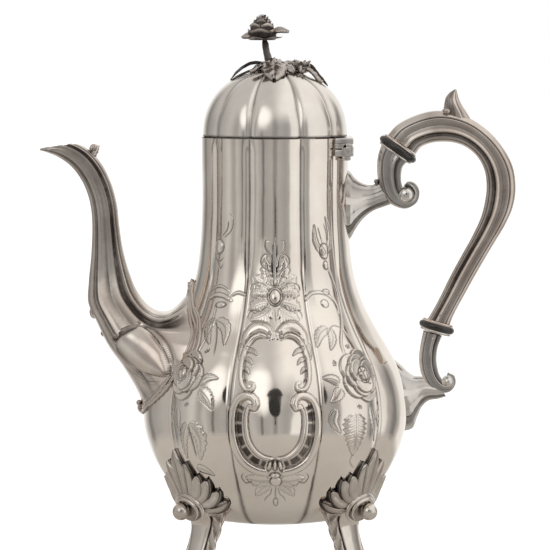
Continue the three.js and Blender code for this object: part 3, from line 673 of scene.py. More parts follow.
def left_ornament(bearing, z, r):
    """A rose under a leaf pair and a banded arch, with an oval bud and engraved leaves."""
    panel, seen = diagonal_panel(bearing, z, r)
    panel.leaf(seen((37.5, 97.5), (33, 100), (28.4, 99.6)), 2.4, 0.5)
    panel.leaf(seen((36.6, 94), (33, 89.4), (30.6, 83.6)), 3.2, 0.5)
    panel.leaf(seen((42, 77.6), (43.6, 69.6), (41.4, 59.6)), 3.0, 0.5, serration=0.3)
    panel.leaf(seen((40.6, 77.6), (35.4, 70), (34.4, 58.6)), 3.6, 0.6, serration=0.3)
    panel.groove(seen((41.6, 76), (39, 68), (36.2, 59)), width=0.55, depth=0.4, dark=0.95)
    panel.leaf(seen((36.2, 55), (32, 53.6), (27.4, 50.8)), 2.0, 0.3, serration=0)
    panel.leaf(seen((51.6, 84), (53.4, 78), (53, 70)), 2.8, 0.4)
    panel.leaf(seen((48, 84), (47.6, 78), (46, 73)), 2.6, 0.4)
    panel.rose(seen((44.6, 101.6))[0], 11.4, turn=10)
    panel.ridge(seen((38.6, 112), (33.6, 121), (30.6, 129), (29, 137)), (0.7, 0.5, 0.4), 0.5)
    panel.leaf(seen((29, 129), (33, 125.6), (32.6, 116.6)), 2.5, 0.55)
    panel.leaf(seen((28.8, 129), (25.2, 125.6), (26, 116)), 2.5, 0.55)
    panel.groove(seen((29, 129), (29.4, 119), (31, 110)), width=0.4, depth=0.3)
    panel.ridge(seen((33, 139.4), (29.6, 141.4), (25.4, 141.2), (21.8, 138.8)), (0.8, 1.1, 0.8), 0.8)
    panel.ridge(seen((31.6, 144), (28.4, 145.8), (25.4, 145.6), (22.6, 143.6)), (0.4, 0.6, 0.4), 0.4)
    panel.mound(seen((26.8, 136.6))[0], (3.2, 1.5), 0.6)
    panel.ridge(seen((21.6, 141.2), (18.6, 142.6), (15.2, 141.2)), (0.5, 0.7, 0.4), 0.5)
    panel.groove(seen((28.6, 170), (30.6, 175.6), (29.4, 182.4)))
    panel.groove(seen((27.2, 170.4), (28.6, 174.6), (28, 178.6)))
    panel.groove(seen((25.2, 170), (21.2, 173.6), (20.2, 179.4), (21.8, 183)))
    panel.groove(seen((25.8, 171), (23, 174.6), (22.4, 179)))
    panel.groove(seen((30.4, 161.4), (27.6, 158.6), (24.6, 160.6)))
    panel.groove(seen((28.6, 158.6), (26.6, 155), (25.2, 157.6)))
    panel.mound(seen((27.4, 165.6))[0], (3.9, 3.6), 1.5)
    for centre, direction in (((35.6, 107), 20), ((43.4, 88.4), 250), ((33.6, 112), 60)):
        panel.ticks(seen(centre)[0], direction)
    return panel.result()


def no_ornament(bearing, z, r):
    """The plain flutes under the spout and the handle."""
    return np.zeros(bearing.shape), np.zeros(bearing.shape)


def build_body(finish):
    """Eight flutes and a lining. Each flute meets its neighbours in a valley."""
    for first, last, columns, ornament, name, opposite in (
        (-21, 21, 150, front_ornament, "front", "back"),
        (21, 56, 134, right_ornament, "front_right", "back_left"),
        (-56, -21, 134, left_ornament, "front_left", "back_right"),
        (56, 124, 120, no_ornament, "handle_side", "spout_side"),
    ):
        vertices, faces, dark = body_surface(np.linspace(first, last, columns), FINE_ROWS, ornament)
        add_piece("body_" + name, (vertices, faces, dark), "pot", "body_shell", finish)
        add_piece("body_" + opposite, (vertices * HALF_TURN, faces, dark), "pot", "body_shell", finish)
    around = 241
    bearings = np.linspace(0, 360, around)
    lining, _, _ = body_surface(bearings, PLAIN_ROWS, offset=-WALL)
    lining[-around:, 2] = MOUTH
    skin, _, _ = body_surface(bearings, PLAIN_ROWS)
    vertices = np.concatenate([lining, skin[-around:]])
    rows = len(vertices) // around
    # painted shade: the inside of the pot is painted a little dark, and its top edge darker along the seam
    # under the lid
    dark = np.repeat(np.where(np.arange(rows) < rows - 2, 0.3, 0.8), around)
    inward = grid_faces(rows, around)[:, ::-1]
    add_piece("body_lining", (vertices, inward, dark), "pot", "body_shell", finish)


# ---- lid -----------------------------------------------------------------------------------------


def lid_profile(inset, samples):
    """Radius and height of the lid, outside or a distance inside, from its rim to the hole in its top."""
    radius, rise = LID_RADIUS - inset, LID_RISE - inset
    angle = np.linspace(0, math.acos((LID_TOP_RADIUS / radius) ** (LID_ROUNDNESS / 2)), samples)
    power = 2 / LID_ROUNDNESS
    return np.stack([radius * np.cos(angle) ** power, LID_BASE + rise * np.sin(angle) ** power], axis=1)


def build_lid(finish):
    """The fluted dome, outside and inside, with painted shade along its valleys, round its rim and over its
    inside.
    """
    outside, inside = lid_profile(0, 110), lid_profile(WALL, 40)[::-1]
    under = LID_BASE - 0.1
    rim = [(LID_RADIUS - 0.9, under), (LID_RADIUS - 0.3, under), (LID_RADIUS, LID_BASE + 0.25)]
    profile = np.concatenate([rim, outside[2:], inside, rim[:1]])
    bearing, r = np.meshgrid(np.linspace(0, 360, 600, endpoint=False), profile[:, 0])
    z = np.broadcast_to(profile[:, 1:2], r.shape)
    fraction = flute_fraction(bearing)
    swelling = smoothstep(r, 1.8, 9) * (1 - 0.35 * smoothstep(r, 33.5, LID_RADIUS))
    share = 1 - (0.03 * fraction**2 + 0.055 * fraction**6) * swelling
    # painted shade: a dark line drawn along each valley of the lid
    valley = 0.5 * bell((1 - fraction) * r, 2.1)
    row = np.arange(len(profile))[:, None]
    # painted shade: the rim and the whole inside of the lid are painted dark
    edge = 0.85 * ((row < 3) | (row >= len(rim) + len(outside) - 2))
    angle = np.radians(bearing)
    grid = np.stack([r * share * np.sin(angle), -r * share * np.cos(angle), z], axis=-1)
    add_piece("lid", closed_grid(grid, np.maximum(valley, edge)), "lid", "lid_dome", finish)


# ---- lofts, rods and blades ----------------------------------------------------------------------


def loft(stations, bands, samples, around, power):
    """A form in the XZ plane, alike on both sides of it: a grid of vertices, and its columns' darkness.

    stations holds rows of (outer x, outer z, inner x, inner z, half depth). bands holds rows of
    (degrees from the outer edge, share of the radius, darkness).
    """
    rows = spline(stations, samples)
    outer, inner, depth = rows[:, None, 0:2], rows[:, None, 2:4], rows[:, None, 4]
    theta = np.linspace(0, 360, around, endpoint=False)
    half = np.minimum(theta, 360 - theta)
    angles, shares, darks = np.array(bands, float).T
    share, dark = np.interp(half, angles, shares), np.interp(half, angles, darks)
    cos, sin = np.cos(np.radians(theta)), np.sin(np.radians(theta))
    across = share * np.sign(cos) * np.abs(cos) ** (2 / power)
    deep = share * np.sign(sin) * np.abs(sin) ** (2 / power)
    plane = (outer + inner) / 2 + (outer - inner) / 2 * across[None, :, None]
    return np.stack([plane[..., 0], -depth * deep, plane[..., 1]], axis=-1), dark


def capped(grid, share):
    """A grid of closed rows, with its ends drawn in to a share of their size."""
    ends = grid[[0, -1]]
    middles = ends.mean(axis=1, keepdims=True)
    first, last = middles + (ends - middles) * share
    return np.concatenate([first[None], grid, last[None]])


def closed_grid(grid, dark=0.0):
    """A grid whose rows are closed loops, as a shape."""
    rows, columns = grid.shape[:2]
    faces = grid_faces(rows, columns, closed=True)
    return grid.reshape(-1, 3), faces, np.broadcast_to(dark, (rows, columns)).ravel()


def closed_loft(*form):
    """A loft with closed ends, as a shape."""
    grid, dark = loft(*form)
    return closed_grid(capped(grid, 0.02), dark)


def normals_of(grid):
    """Unit normals of a grid with closed rows."""
    around = np.roll(grid, -1, axis=1) - np.roll(grid, 1, axis=1)
    along = np.gradient(grid, axis=0)
    normal = np.cross(along, around)
    return normal / np.maximum(np.linalg.norm(normal, axis=-1, keepdims=True), 1e-9)


def directions(path):
    """Unit tangents along a path."""
    tangent = np.gradient(path, axis=0)
    return tangent / np.linalg.norm(tangent, axis=1, keepdims=True)


def ring_of(around):
    """Evenly spaced angles of a full turn, with their cosines and sines."""
    angle = np.linspace(0, 2 * math.pi, around, endpoint=False)
    return angle, np.cos(angle), np.sin(angle)


def tube(points, radii, samples=40, around=20, knobs=0.0, dark=0.15):
    """A round rod along points, with evenly spread radii. knobs makes it gnarled."""
    path = spline(points, samples)
    tangent = directions(path)
    side = np.cross(tangent, TUBE_GUIDE)
    side /= np.linalg.norm(side, axis=1, keepdims=True)
    other = np.cross(tangent, side)
    share = np.linspace(0, 1, len(path))
    radius = np.interp(share, np.linspace(0, 1, len(radii)), radii)
    radius = radius * np.minimum(1, 0.05 + 4 * np.minimum(share, 1 - share)) ** 0.5
    angle, cos, sin = ring_of(around)
    wave = 1 + knobs * np.sin(3 * angle[None, :] + 9 * share[:, None]) * np.sin(23 * share[:, None])
    ring = cos[None, :, None] * side[:, None] + sin[None, :, None] * other[:, None]
    return closed_grid(path[:, None] + ring * (radius[:, None] * wave)[..., None], dark)


def ball(centre, radii, around=36, rings=20, lumps=0.0, turns=5):
    """A ball or an egg, or a lumpy bud where lumps isn't 0."""
    u = np.linspace(0.02, math.pi - 0.02, rings)[:, None]
    v = np.linspace(0, 2 * math.pi, around, endpoint=False)[None, :]
    swell = 1 + lumps * np.cos(turns * v) * np.sin(u)
    x, y = np.sin(u) * np.cos(v) * swell, np.sin(u) * np.sin(v) * swell
    grid = np.stack([x, y, np.cos(u) + 0 * v], axis=-1)
    dark = 0.8 * smoothstep(-np.cos(turns * v) * np.sin(u), 0.6, 1.0) * (lumps > 0)
    return closed_grid(np.asarray(centre) + grid * np.asarray(radii), dark)


def turned(axis_point, axis, profile, around):
    """A shape turned about an axis. profile holds rows of (distance along the axis, radius)."""
    axis = np.asarray(axis, float) / np.linalg.norm(axis)
    side = np.cross(axis, [0, 1, 0] if abs(axis[1]) < 0.9 else [1, 0, 0])
    side /= np.linalg.norm(side)
    other = np.cross(axis, side)
    _, cos, sin = ring_of(around)
    ring = cos[:, None] * side + sin[:, None] * other
    rows = np.array(profile, float)
    return closed_grid(np.asarray(axis_point) + rows[:, None, 0:1] * axis + rows[:, None, 1:2] * ring[None])


def rounded_disc(half, radius, bulge=0.0):
    """The profile of a disc with round edges, closed on itself. bulge domes its faces."""
    corner = min(half, radius * 0.4)
    rim = [
        (half * math.sin(a), radius - corner + corner * math.cos(a))
        for a in np.linspace(-math.pi / 2, math.pi / 2, 9)
    ]
    dome = [(half + bulge * 0.75, radius * 0.5), (half + bulge, 0.02)]
    return [(-p, r) for p, r in reversed(dome)] + rim + dome


def blade(
    points, widest, out, dome=0.7, thick=0.5, tip=0.7, blunt=0.7, ribs=0, veins=5, notch=0.0, hollow=0.0,
    samples=30, patina=0.6, shade=0.0,
):
    """A leaf over a midrib that faces out.

    tip and blunt form its outline, ribs run along it, veins run to its sides, notch cuts its edge,
    hollow sinks its middle and shade darkens all of its front.
    """
    path = spline(points, samples)
    tangent = directions(path)
    side = np.cross(np.broadcast_to(np.asarray(out, float), path.shape), tangent)
    side /= np.linalg.norm(side, axis=1, keepdims=True)
    normal = np.cross(tangent, side)
    share = np.linspace(0, 1, samples)[:, None]
    across = np.linspace(-1, 1, 21)[None, :]
    lobes = 1 + notch * (np.abs((share * veins) % 1 - 0.5) * 2 - 0.5)
    width = widest * (np.sin(np.pi * (0.04 + 0.95 * share) ** tip) ** blunt) * lobes + 0.05
    midrib = bell(across, 0.12) * (hollow == 0)
    if ribs:
        wave = np.cos(np.pi * (ribs * across + 1))
    else:
        wave = -np.cos(2 * np.pi * (share * veins - 1.1 * np.abs(across)))
    low = 1 - (0.5 + 0.5 * wave * (ribs + veins > 0))
    edge = np.clip(1 - np.abs(across), 0, 1) ** 0.5
    sunk = hollow * (1 - across**2) ** 2 * smoothstep(share, 0.25, 0.55) * smoothstep(1 - share, 0.02, 0.2)
    lift = dome * (1 - across**4) - sunk - 0.3 * dome * midrib - 0.28 * dome * low * edge
    front = path[:, None] + side[:, None] * (width * across)[..., None] + normal[:, None] * lift[..., None]
    back = front[:, ::-1] - normal[:, None] * thick
    dark_front = shade + np.clip(0.6 * midrib + 0.7 * low**2 * edge + 0.2 * sunk, 0, 0.9) * patina
    dark = np.concatenate([dark_front + 0 * share, np.full(back.shape[:2], 0.6 * patina)], axis=1)
    return closed_grid(np.concatenate([front, back], axis=1), dark)


def on_body(bearing, z, lift=0.0):
    """A point over the body's skin."""
    radius = crest_radius(z) * flute_share(bearing, z) + lift
    angle = math.radians(bearing)
    return (radius * math.sin(angle), -radius * math.cos(angle), z)


# ---- spout ---------------------------------------------------------------------------------------

SPOUT_BANDS = [
    (0, 1, 0.2), (30, 1, 0.15), (40, 0.985, 0.1), (44, 0.90, 1), (48, 0.985, 0.1), (50, 0.985, 0.1),
    (54, 0.89, 1), (58, 1.0, 0.1), (68, 0.95, 0.2), (92, 0.93, 0.42), (104, 1.03, 0.35), (108, 1.07, 0),
    (113, 0.97, 0.5), (118, 0.80, 1), (126, 0.82, 0.95), (131, 1.0, 0.2), (137, 1.01, 0), (142, 0.90, 1),
    (147, 1.0, 0.1), (165, 1.0, 0.1), (180, 1, 0.2),
]
SPOUT_STATIONS = [
    (-117.6, 213.9, -116.4, 215.6, 1.6), (-114.6, 213.0, -110, 217.6, 4.4),
    (-108.2, 210.3, -101.5, 218.4, 6.0), (-101.9, 205.8, -93.4, 214.6, 6.4),
    (-97.1, 199.6, -87.4, 208.4, 6.4), (-93.8, 192.3, -82.4, 199.2, 6.5), (-91.9, 184, -79.0, 187.6, 6.6),
    (-91.4, 175, -77.8, 176.6, 6.8), (-91.9, 162, -75.9, 164.4, 7.3), (-93.2, 148, -72.8, 153.0, 8.4),
    (-93.4, 137.5, -69.2, 144.0, 10.5), (-88.9, 127.4, -63.6, 136.7, 13.5),
    (-83.4, 116.2, -57.0, 133.4, 17), (-75.8, 105.8, -51, 134.6, 22), (-69.2, 97.0, -47, 138.6, 26),
    (-68.2, 91.5, -44, 143.0, 29), (-68.6, 86, -42.5, 146.6, 32),
]
JOINT_HALF_DEPTH = [
    (83, 0), (85, 8), (88, 15), (95, 26.5), (103, 33), (110, 34.5), (118, 32), (126, 25.5), (134, 14),
    (140, 7), (145.6, 0),
]  # height, and distance from the middle plane, where the spout meets the body


def joint_curve(theta):
    """Points round the line where the spout's base meets the body."""
    z = 114.3 - 31.3 * np.cos(np.radians(theta))
    heights, depths = np.array(JOINT_HALF_DEPTH, float).T
    depth = np.interp(z, heights, depths) * np.where(theta > 180, -1, 1)
    radius = crest_radius(z)
    away = np.degrees(np.arcsin(np.clip(depth / radius, -0.9, 0.9)))
    radius = radius * flute_share(90 + away, z) - 0.35
    return np.stack([-np.sqrt(radius**2 - depth**2), -depth, z], axis=1)


def spout_marks(grid):
    """The boss, chevron and leaf veins that lie over the bands near the body, for both sides."""
    marks = Relief(grid[..., 0], grid[..., 2])
    marks.shield([(-75.6, 123.4), (-65.6, 114.6), (-51.8, 103.6)], 9.4, 4.2)
    for line, width, depth, dark in (
        ([(-80.6, 119.2), (-77, 121), (-73, 123.3), (-67.6, 126.3)], 0.85, 1.1, 1.0),
        ([(-85.2, 119.6), (-79.4, 111.4), (-72, 104.4), (-64, 99.8), (-54, 100.4)], 0.5, 0.5, 0.6),
        ([(-67.6, 127), (-61.6, 126), (-55, 121), (-51, 113), (-50, 107)], 0.6, 0.5, 0.9),
    ):
        marks.groove(line, width, depth, dark)
    return marks.result()


def spout_wall():
    """The spout's outside before its lip is opened, as a grid of vertices and its darkness."""
    size = (270, SPOUT_COLUMNS, 2.15)
    grid, dark = loft(SPOUT_STATIONS, SPOUT_BANDS, *size)
    smooth, _ = loft(SPOUT_STATIONS, [(0, 1, 0), (180, 1, 0)], *size)
    share = np.linspace(0, 1, len(grid))[:, None]
    theta = np.linspace(0, 360, SPOUT_COLUMNS, endpoint=False)
    half = np.minimum(theta, 360 - theta)[None, :]
    on_panel = smoothstep(half, 50, 56) * (1 - smoothstep(half, 106, 114))
    past_chevron = smoothstep(share, 0.765, 0.785) * on_panel
    plain = np.maximum(past_chevron, smoothstep(share, 0.88, 0.98))
    grid = grid + (smooth - grid) * plain[..., None]
    grid = grid + (joint_curve(theta)[None] - grid) * smoothstep(share, 0.84, 1.0)[..., None]
    height, marked = spout_marks(grid)
    near_body = smoothstep(share, 0.62, 0.68) * smoothstep(half, 20, 40)
    grid = grid + normals_of(grid) * (height * near_body)[..., None]
    tarnish = 0.12 * (1 - smoothstep(share, 0.55, 0.75))
    return grid, np.maximum(dark * (1 - plain), marked * near_body) + tarnish


def open_mouth(grid, closing):
    """The wall past closing, in degrees from the outer edge, folded onto its rim to open the lip."""
    columns = grid.shape[1]
    theta = np.arange(columns) * 360 / columns
    folded = grid.copy()
    for row, reach in enumerate(closing):
        if reach >= 180:
            break
        for rim, past in ((reach, (theta >= reach) & (theta <= 180)),
                          (360 - reach, (theta >= 180) & (theta <= 360 - reach))):
            folded[row, past] = grid[row, int(round(rim / 360 * columns)) % columns]
    return folded


def build_spout(finish):
    """A panelled tube that widens into a leafy base on the body, with an open lip."""
    grid, dark = spout_wall()
    share = np.linspace(0, 1, len(grid))[:, None]
    theta = np.linspace(0, 360, SPOUT_COLUMNS, endpoint=False)
    closing = 96 + 84 * smoothstep(share, 0.03, 0.17)  # how far round from the outer edge the wall reaches
    kept = np.minimum(theta, 360 - theta) <= closing
    centre = grid.mean(axis=1, keepdims=True)
    grid = np.where(kept[..., None], grid, open_mouth(grid, closing[:, 0]))
    inner = centre + (grid - centre) * np.where(share < 0.2, 0.84, 0.9)[..., None]
    inner[..., 2] = np.where(kept, inner[..., 2], grid[..., 2])
    lip_leaf = [(-92.8, 0, 209.6), (-90.2, 0, 212.6), (-89.2, 0, 216.6)]
    base_leaf = [(-67.4, 0, 87.2), (-67.6, 0, 84.6), (-65.2, 0, 82.4)]
    shapes = [
        closed_grid(grid, dark),
        # painted shade: the inside of the spout is painted dark
        closed_grid(inner[: len(grid) // 5, ::-1], 0.9),
        closed_grid(np.stack([inner[0], grid[0]]), 0.5),
        blade(lip_leaf, 3.2, (1, 0, 0.3), dome=1.9, thick=1.8),
        ball((-90.4, 0, 214.8), (2.3, 3.0, 2.4), lumps=0.16),
        ball((-90.6, 0, 133.2), (2.2, 3.0, 3.6), lumps=0.14),
        ball((-85.0, 0, 122.4), (2.2, 3.0, 2.0), lumps=0.2),
        *spout_leaves(-1),
        *spout_leaves(1),
        ball((-68.0, 0, 87.6), (1.5, 2.6, 1.5)),
        blade(base_leaf, 5.4, (-1, 0, -0.5), dome=1.2, thick=2.0, ribs=3),
    ]
    add_piece("spout_shell", joined(shapes), "pot", "spout", finish)


def spout_leaves(side):
    """Long leaves that lie along the edge of the spout's base, on one side."""
    shapes = []
    heights, depths = np.array(JOINT_HALF_DEPTH, float).T
    for start, end, widest, inset, lift, ribs in (
        (147, 106, 2.2, 0.4, 0.7, 1), (148, 110, 1.6, 3.6, 0.5, 1), (143, 108, 1.8, 6.6, 0.4, 1),
        (136, 107, 1.8, 9.4, 0.3, 1), (83.4, 103, 2.6, -0.6, 0.9, 0), (87, 102, 1.7, 2.8, 0.6, 0),
    ):
        points = []
        for z in np.linspace(start, end, 6):
            depth = np.interp(z, heights, depths)
            away = math.degrees(math.asin(min(0.9, depth / crest_radius(z)))) + inset
            points.append(on_body(-90 + side * away, z, lift))
        middle = np.mean(points, axis=0)
        notch = 0 if ribs else 0.3
        shapes.append(blade(
            points, widest, (middle[0], middle[1], 8), dome=1.0, thick=1.6, tip=0.8, ribs=ribs, veins=7,
            notch=notch, samples=60, patina=0.4,
        ))
    for turn, top, lean in ((4.6, 149.4, 1.4), (2.6, 148.0, 2.6)):
        course = ((turn, 138, 0.3), (turn, 144, 1.2), (turn * 0.6, top, lean))
        points = [on_body(-90 + side * away, z, lift) for away, z, lift in course]
        out = (-1, -0.6 * side, 0.2)
        shapes.append(blade(points, 1.7, out, dome=0.9, thick=1.0, samples=24, patina=0.4))
    return shapes


# ---- handle --------------------------------------------------------------------------------------

GRIP_BANDS = [
    (0, 1, 0.2), (36, 1.0, 0.1), (49, 0.985, 0.15), (55, 0.88, 1), (60, 1.03, 0), (65, 1.0, 0.15),
    (84, 0.90, 0.5), (95, 0.96, 0.35), (103, 1.07, 0), (109, 0.96, 0.3), (118, 0.79, 1), (130, 0.85, 0.8),
    (138, 0.99, 0.05), (145, 0.90, 0.9), (151, 1.0, 0.05), (180, 1, 0.25),
]
GRIP_STATIONS = [
    (56.4, 221.6, 70.4, 212, 6.0), (61.0, 226.6, 73, 215.3, 6.6), (70.4, 231.4, 78.8, 217.6, 7.0),
    (80, 233.6, 85.4, 218, 7.2), (89, 232.8, 91.6, 217, 7.2), (98.5, 229.2, 96.8, 214.4, 7.0),
    (107.7, 222.4, 101.4, 210, 6.8), (114.5, 214.4, 104.5, 204, 6.6), (119.0, 205.2, 105.6, 196.8, 6.5),
    (120.3, 195, 105, 189.4, 6.4), (119.0, 185.8, 102.8, 180.4, 6.2), (115.6, 177.6, 98.6, 171.2, 6.0),
    (107.7, 164.2, 93, 161, 5.7), (100.8, 152.4, 87.6, 151, 5.5), (94.3, 140.6, 82.2, 140, 5.4),
    (89.2, 131, 78.4, 133, 5.3), (87.4, 126.4, 76.2, 129.4, 5.3),
]
THUMB_STATIONS = [
    (82.6, 231, 99.4, 226.6, 4.6), (84.0, 234.2, 96.2, 232.2, 5.0), (84.5, 237.4, 93.4, 236.6, 4.8),
    (85.2, 240.2, 91.9, 239.8, 3.8), (87.0, 242.6, 91.2, 242.2, 2.4), (89.6, 244.3, 90.6, 244.2, 0.7),
]
THUMB_BANDS = [
    (0, 1, 0.1), (30, 0.98, 0.45), (62, 0.88, 0.75), (84, 0.9, 0.6), (96, 1.06, 0), (108, 1.02, 0.05),
    (122, 0.86, 0.45), (150, 0.95, 0.05), (180, 1, 0),
]
UPPER_RING, LOWER_RING = (61.4, 214.4, 55.0, 10.3), (80.9, 125.5, 74.0, 8.6)  # x, z, slope, radius
BRACKET_BANDS = [
    (0, 1, 0.05), (34, 1.0, 0.1), (46, 0.93, 0.35), (72, 0.9, 0.05), (88, 1.03, 0), (112, 0.92, 0.1),
    (128, 0.97, 0.1), (134, 0.86, 0.7), (150, 0.9, 0.7), (158, 1.0, 0.1), (180, 1, 0.05),
]
UPPER_SOCKET_STATIONS = [
    (53.4, 217.4, 66.4, 208.2, 6.0), (51.4, 211.4, 64.0, 205.6, 6.0), (50.9, 204.6, 63.2, 202.2, 5.9),
    (51.8, 197, 63.2, 198.6, 5.8), (54.2, 190.6, 63.6, 195.6, 5.6), (58.6, 186.4, 64.6, 192.8, 5.4),
    (65.4, 184.6, 65.8, 190.2, 5.2), (71, 187.8, 67.6, 191, 5.0), (72.3, 193.6, 68.4, 192.6, 4.8),
    (69.8, 197.8, 67.0, 195.0, 4.8), (66.4, 198.4, 65.8, 195.8, 4.5), (64.4, 196.6, 64.8, 195.6, 3.4),
]
LOWER_SOCKET_STATIONS = [
    (74.2, 123.8, 83.6, 121, 5.0), (72.6, 116, 81.6, 115.6, 4.9), (72.0, 108.6, 80.9, 110, 4.8),
    (73.2, 101.6, 81.4, 105, 4.7), (76.4, 96, 82.6, 101.2, 4.6), (81.6, 92.6, 85.0, 98, 4.5),
    (87.4, 93, 87.0, 97.4, 4.4), (90.4, 96.8, 88.0, 98.6, 4.2), (89.8, 101.2, 87.0, 99.8, 4.2),
    (86.6, 102.8, 86.0, 100.8, 4.0),
]
UPPER_BRACKET_STATIONS = [
    (35.6, 205, 34.6, 168, 9.6), (37.6, 203.2, 37.6, 169.6, 9.2), (40.0, 200.2, 40.4, 174.4, 7.6),
    (43.6, 197.6, 44.4, 179.8, 5.4), (48.0, 196.6, 49.2, 183.6, 4.3), (52.0, 198, 54.4, 185.6, 4.0),
    (56, 198.6, 59.6, 187.4, 3.8),
]
LOWER_BRACKET_STATIONS = [
    (60.0, 109.0, 62.0, 73.0, 9.0), (62.8, 106.8, 68.6, 74.6, 8.6), (66.4, 103.2, 71.4, 80.6, 7.0),
    (70.0, 101, 73.8, 85.8, 5.2), (74, 100.6, 77.0, 88.6, 4.2), (78.4, 99, 81.4, 89.4, 3.9),
    (82.2, 97, 85.6, 90.6, 3.6),
]


def ring_axis(ring):
    """A ring's middle and the direction of its axis."""
    slope = math.radians(ring[2])
    return np.array([ring[0], 0, ring[1]]), np.array([math.cos(slope), 0, math.sin(slope)])


def flange(ring, direction):
    """The rounded silver collar on one side of an insulator."""
    place, axis = ring_axis(ring)
    return turned(place + axis * direction * 2.3, axis, rounded_disc(0.62, ring[3] - 0.7), 96)


def build_insulator(name, ring, finish):
    """A thick black ring with a bead round its edge."""
    place, axis = ring_axis(ring)
    radius = ring[3]
    profile = [(-9, 0.02), (-9, 3), (-1.7, 3.1), (-1.75, radius - 1.3)]
    profile += [(1.8 * math.sin(a), radius - 1.3 + 1.75 * math.cos(a)) for a in np.linspace(-1.3, 1.3, 13)]
    profile += [(1.75, radius - 1.3), (1.7, 3.1), (9, 3), (9, 0.02)]
    add_piece(name + "_ring", turned(place, axis, profile, 96), "pot", name, finish)


def build_grip(finish):
    """The ribbed grip with its leaf-shaped thumb rest."""
    shapes = [
        closed_loft(GRIP_STATIONS, GRIP_BANDS, 220, 220, 2.2),
        closed_loft(THUMB_STATIONS, THUMB_BANDS, 50, 120, 2.2),
        ball((85.6, -4.4, 233.6), (2.0, 1.6, 1.4)),
        ball((85.6, 4.4, 233.6), (2.0, 1.6, 1.4)),
        flange(UPPER_RING, 1),
        flange(LOWER_RING, 1),
    ]
    add_piece("handle_grip_ribbed", joined(shapes), "pot", "handle_grip", finish)


def build_socket(name, ring, stations, volute, bracket, finish):
    """A socket that curls into a volute, on a flared bracket. volute holds x, z, radius and half width."""
    x, z, radius, half_width = volute
    end_x, end_z = bracket[-2][:2]
    shapes = [
        closed_loft(stations, GRIP_BANDS, 150, 180, 2.3),
        closed_loft(bracket, BRACKET_BANDS, 90, 180, 1.75),
        turned((x, 0, z), (0, 1, 0), rounded_disc(half_width, radius, bulge=0.7), 64),
        ball((end_x - 1.5, 0, end_z + 0.4), (1.3, 3.6, 1.3)),
        flange(ring, -1),
    ]
    add_piece(name + "_scroll", joined(shapes), "pot", name, finish)


# ---- hinge ---------------------------------------------------------------------------------------


def knuckle(low, high, radius=2.9):
    """A length of the hinge's barrel, with turned rings at its ends."""
    middle, half = (low + high) / 2, (high - low) / 2
    steps = [
        (0, 1.1), (0, radius - 0.3), (0.25, radius), (0.9, radius), (1.05, radius - 0.16), (1.3, radius),
    ]
    end = [(-half + p, r) for p, r in steps]
    profile = end + [(-p, r) for p, r in reversed(end)]
    return turned((HINGE_AXIS[0], middle, HINGE_AXIS[2]), (0, 1, 0), profile, 48)


def rounded_block(low, high):
    """A block with rounded edges."""
    (x0, y0, z0), (x1, y1, z1) = low, high
    corner = 0.5
    inset = corner * (1 - math.cos(math.pi / 4))
    steps = [(0, corner), (inset, inset), (corner, 0)]
    rows = []
    for z, shrink in [(z0 + a, b) for a, b in steps] + [(z1 - a, b) for a, b in reversed(steps)]:
        edge = shrink + corner
        left, right, front, back = x0 + edge, x1 - edge, y0 + edge, y1 - edge
        middles = ((right, back), (left, back), (left, front), (right, front))
        loop = []
        for quarter, (x, y) in enumerate(middles):
            for angle in np.radians(90 * quarter + np.linspace(0, 90, 5)):
                loop.append((x + corner * math.cos(angle), y + corner * math.sin(angle), z))
        rows.append(loop)
    return closed_grid(capped(np.array(rows), 0.01))


def build_hinge(finish):
    """Both leaves, a moulded step below the lower one, and a pin with domed heads."""
    low, high = 29.8, 39.0
    width = 20.1
    lower = [
        rounded_block((low, -width + 0.3, 211.4), (high, width - 0.3, 214.9)),
        knuckle(-width, -7.1),
        knuckle(7.1, width),
        rounded_block((33.4, -width + 1, 209.4), (high - 1.4, width - 1, 211.6)),
    ]
    add_piece("hinge_lower_leaf", joined(lower), "pot", "hinge_body_leaf", finish)
    upper = [
        rounded_block((low, -width, 215.35), (35.8, width, 218.6)),
        rounded_block((low, -width, 217.4), (high, width, 220.5)),
        rounded_block((34.2, -6.5, 214.6), (38.2, 6.5, 218.4)),
        knuckle(-6.7, 6.7),
    ]
    add_piece("hinge_upper_leaf", joined(upper), "lid", "hinge_lid_leaf", finish)
    head = [(20, 0.95), (19.9, 1.15), (20.2, 1.15), (20.3, 1.0), (20.32, 0.02)]
    profile = [(-p, r) for p, r in reversed(head)] + head
    add_piece("hinge_pin_headed", turned(HINGE_AXIS, (0, 1, 0), profile, 40), "pot", "hinge_pin", finish)


# ---- finial --------------------------------------------------------------------------------------


def build_branch(finish):
    """The twig that carries the rose, with side shoots lying on the lid."""
    stem = [(-2.4, 0, 256), (-3.4, 0.2, 259.6), (-4.4, 0, 264), (-5.4, 0, 270.4)]
    shapes = [
        tube(stem, (2.2, 1.65, 1.7), knobs=0.05, dark=0.85),
        tube([(-5, -1, 257.4), (0, -1.6, 257.8), (4.6, -1, 256.8)], (1.6, 2.2, 1.6), knobs=0.25),
        ball((-1.4, 0, 256.2), (4.0, 3.4, 2.6), lumps=0.18),
        ball((-7.4, -1.6, 254.8), (1.7, 1.6, 1.6), lumps=0.12),
        tube([(0, 0, 250.4), (0, 0, 256)], (1.5, 1.5), around=24),
    ]
    add_piece("finial_twig", joined(shapes), "lid", "finial_branch", finish)


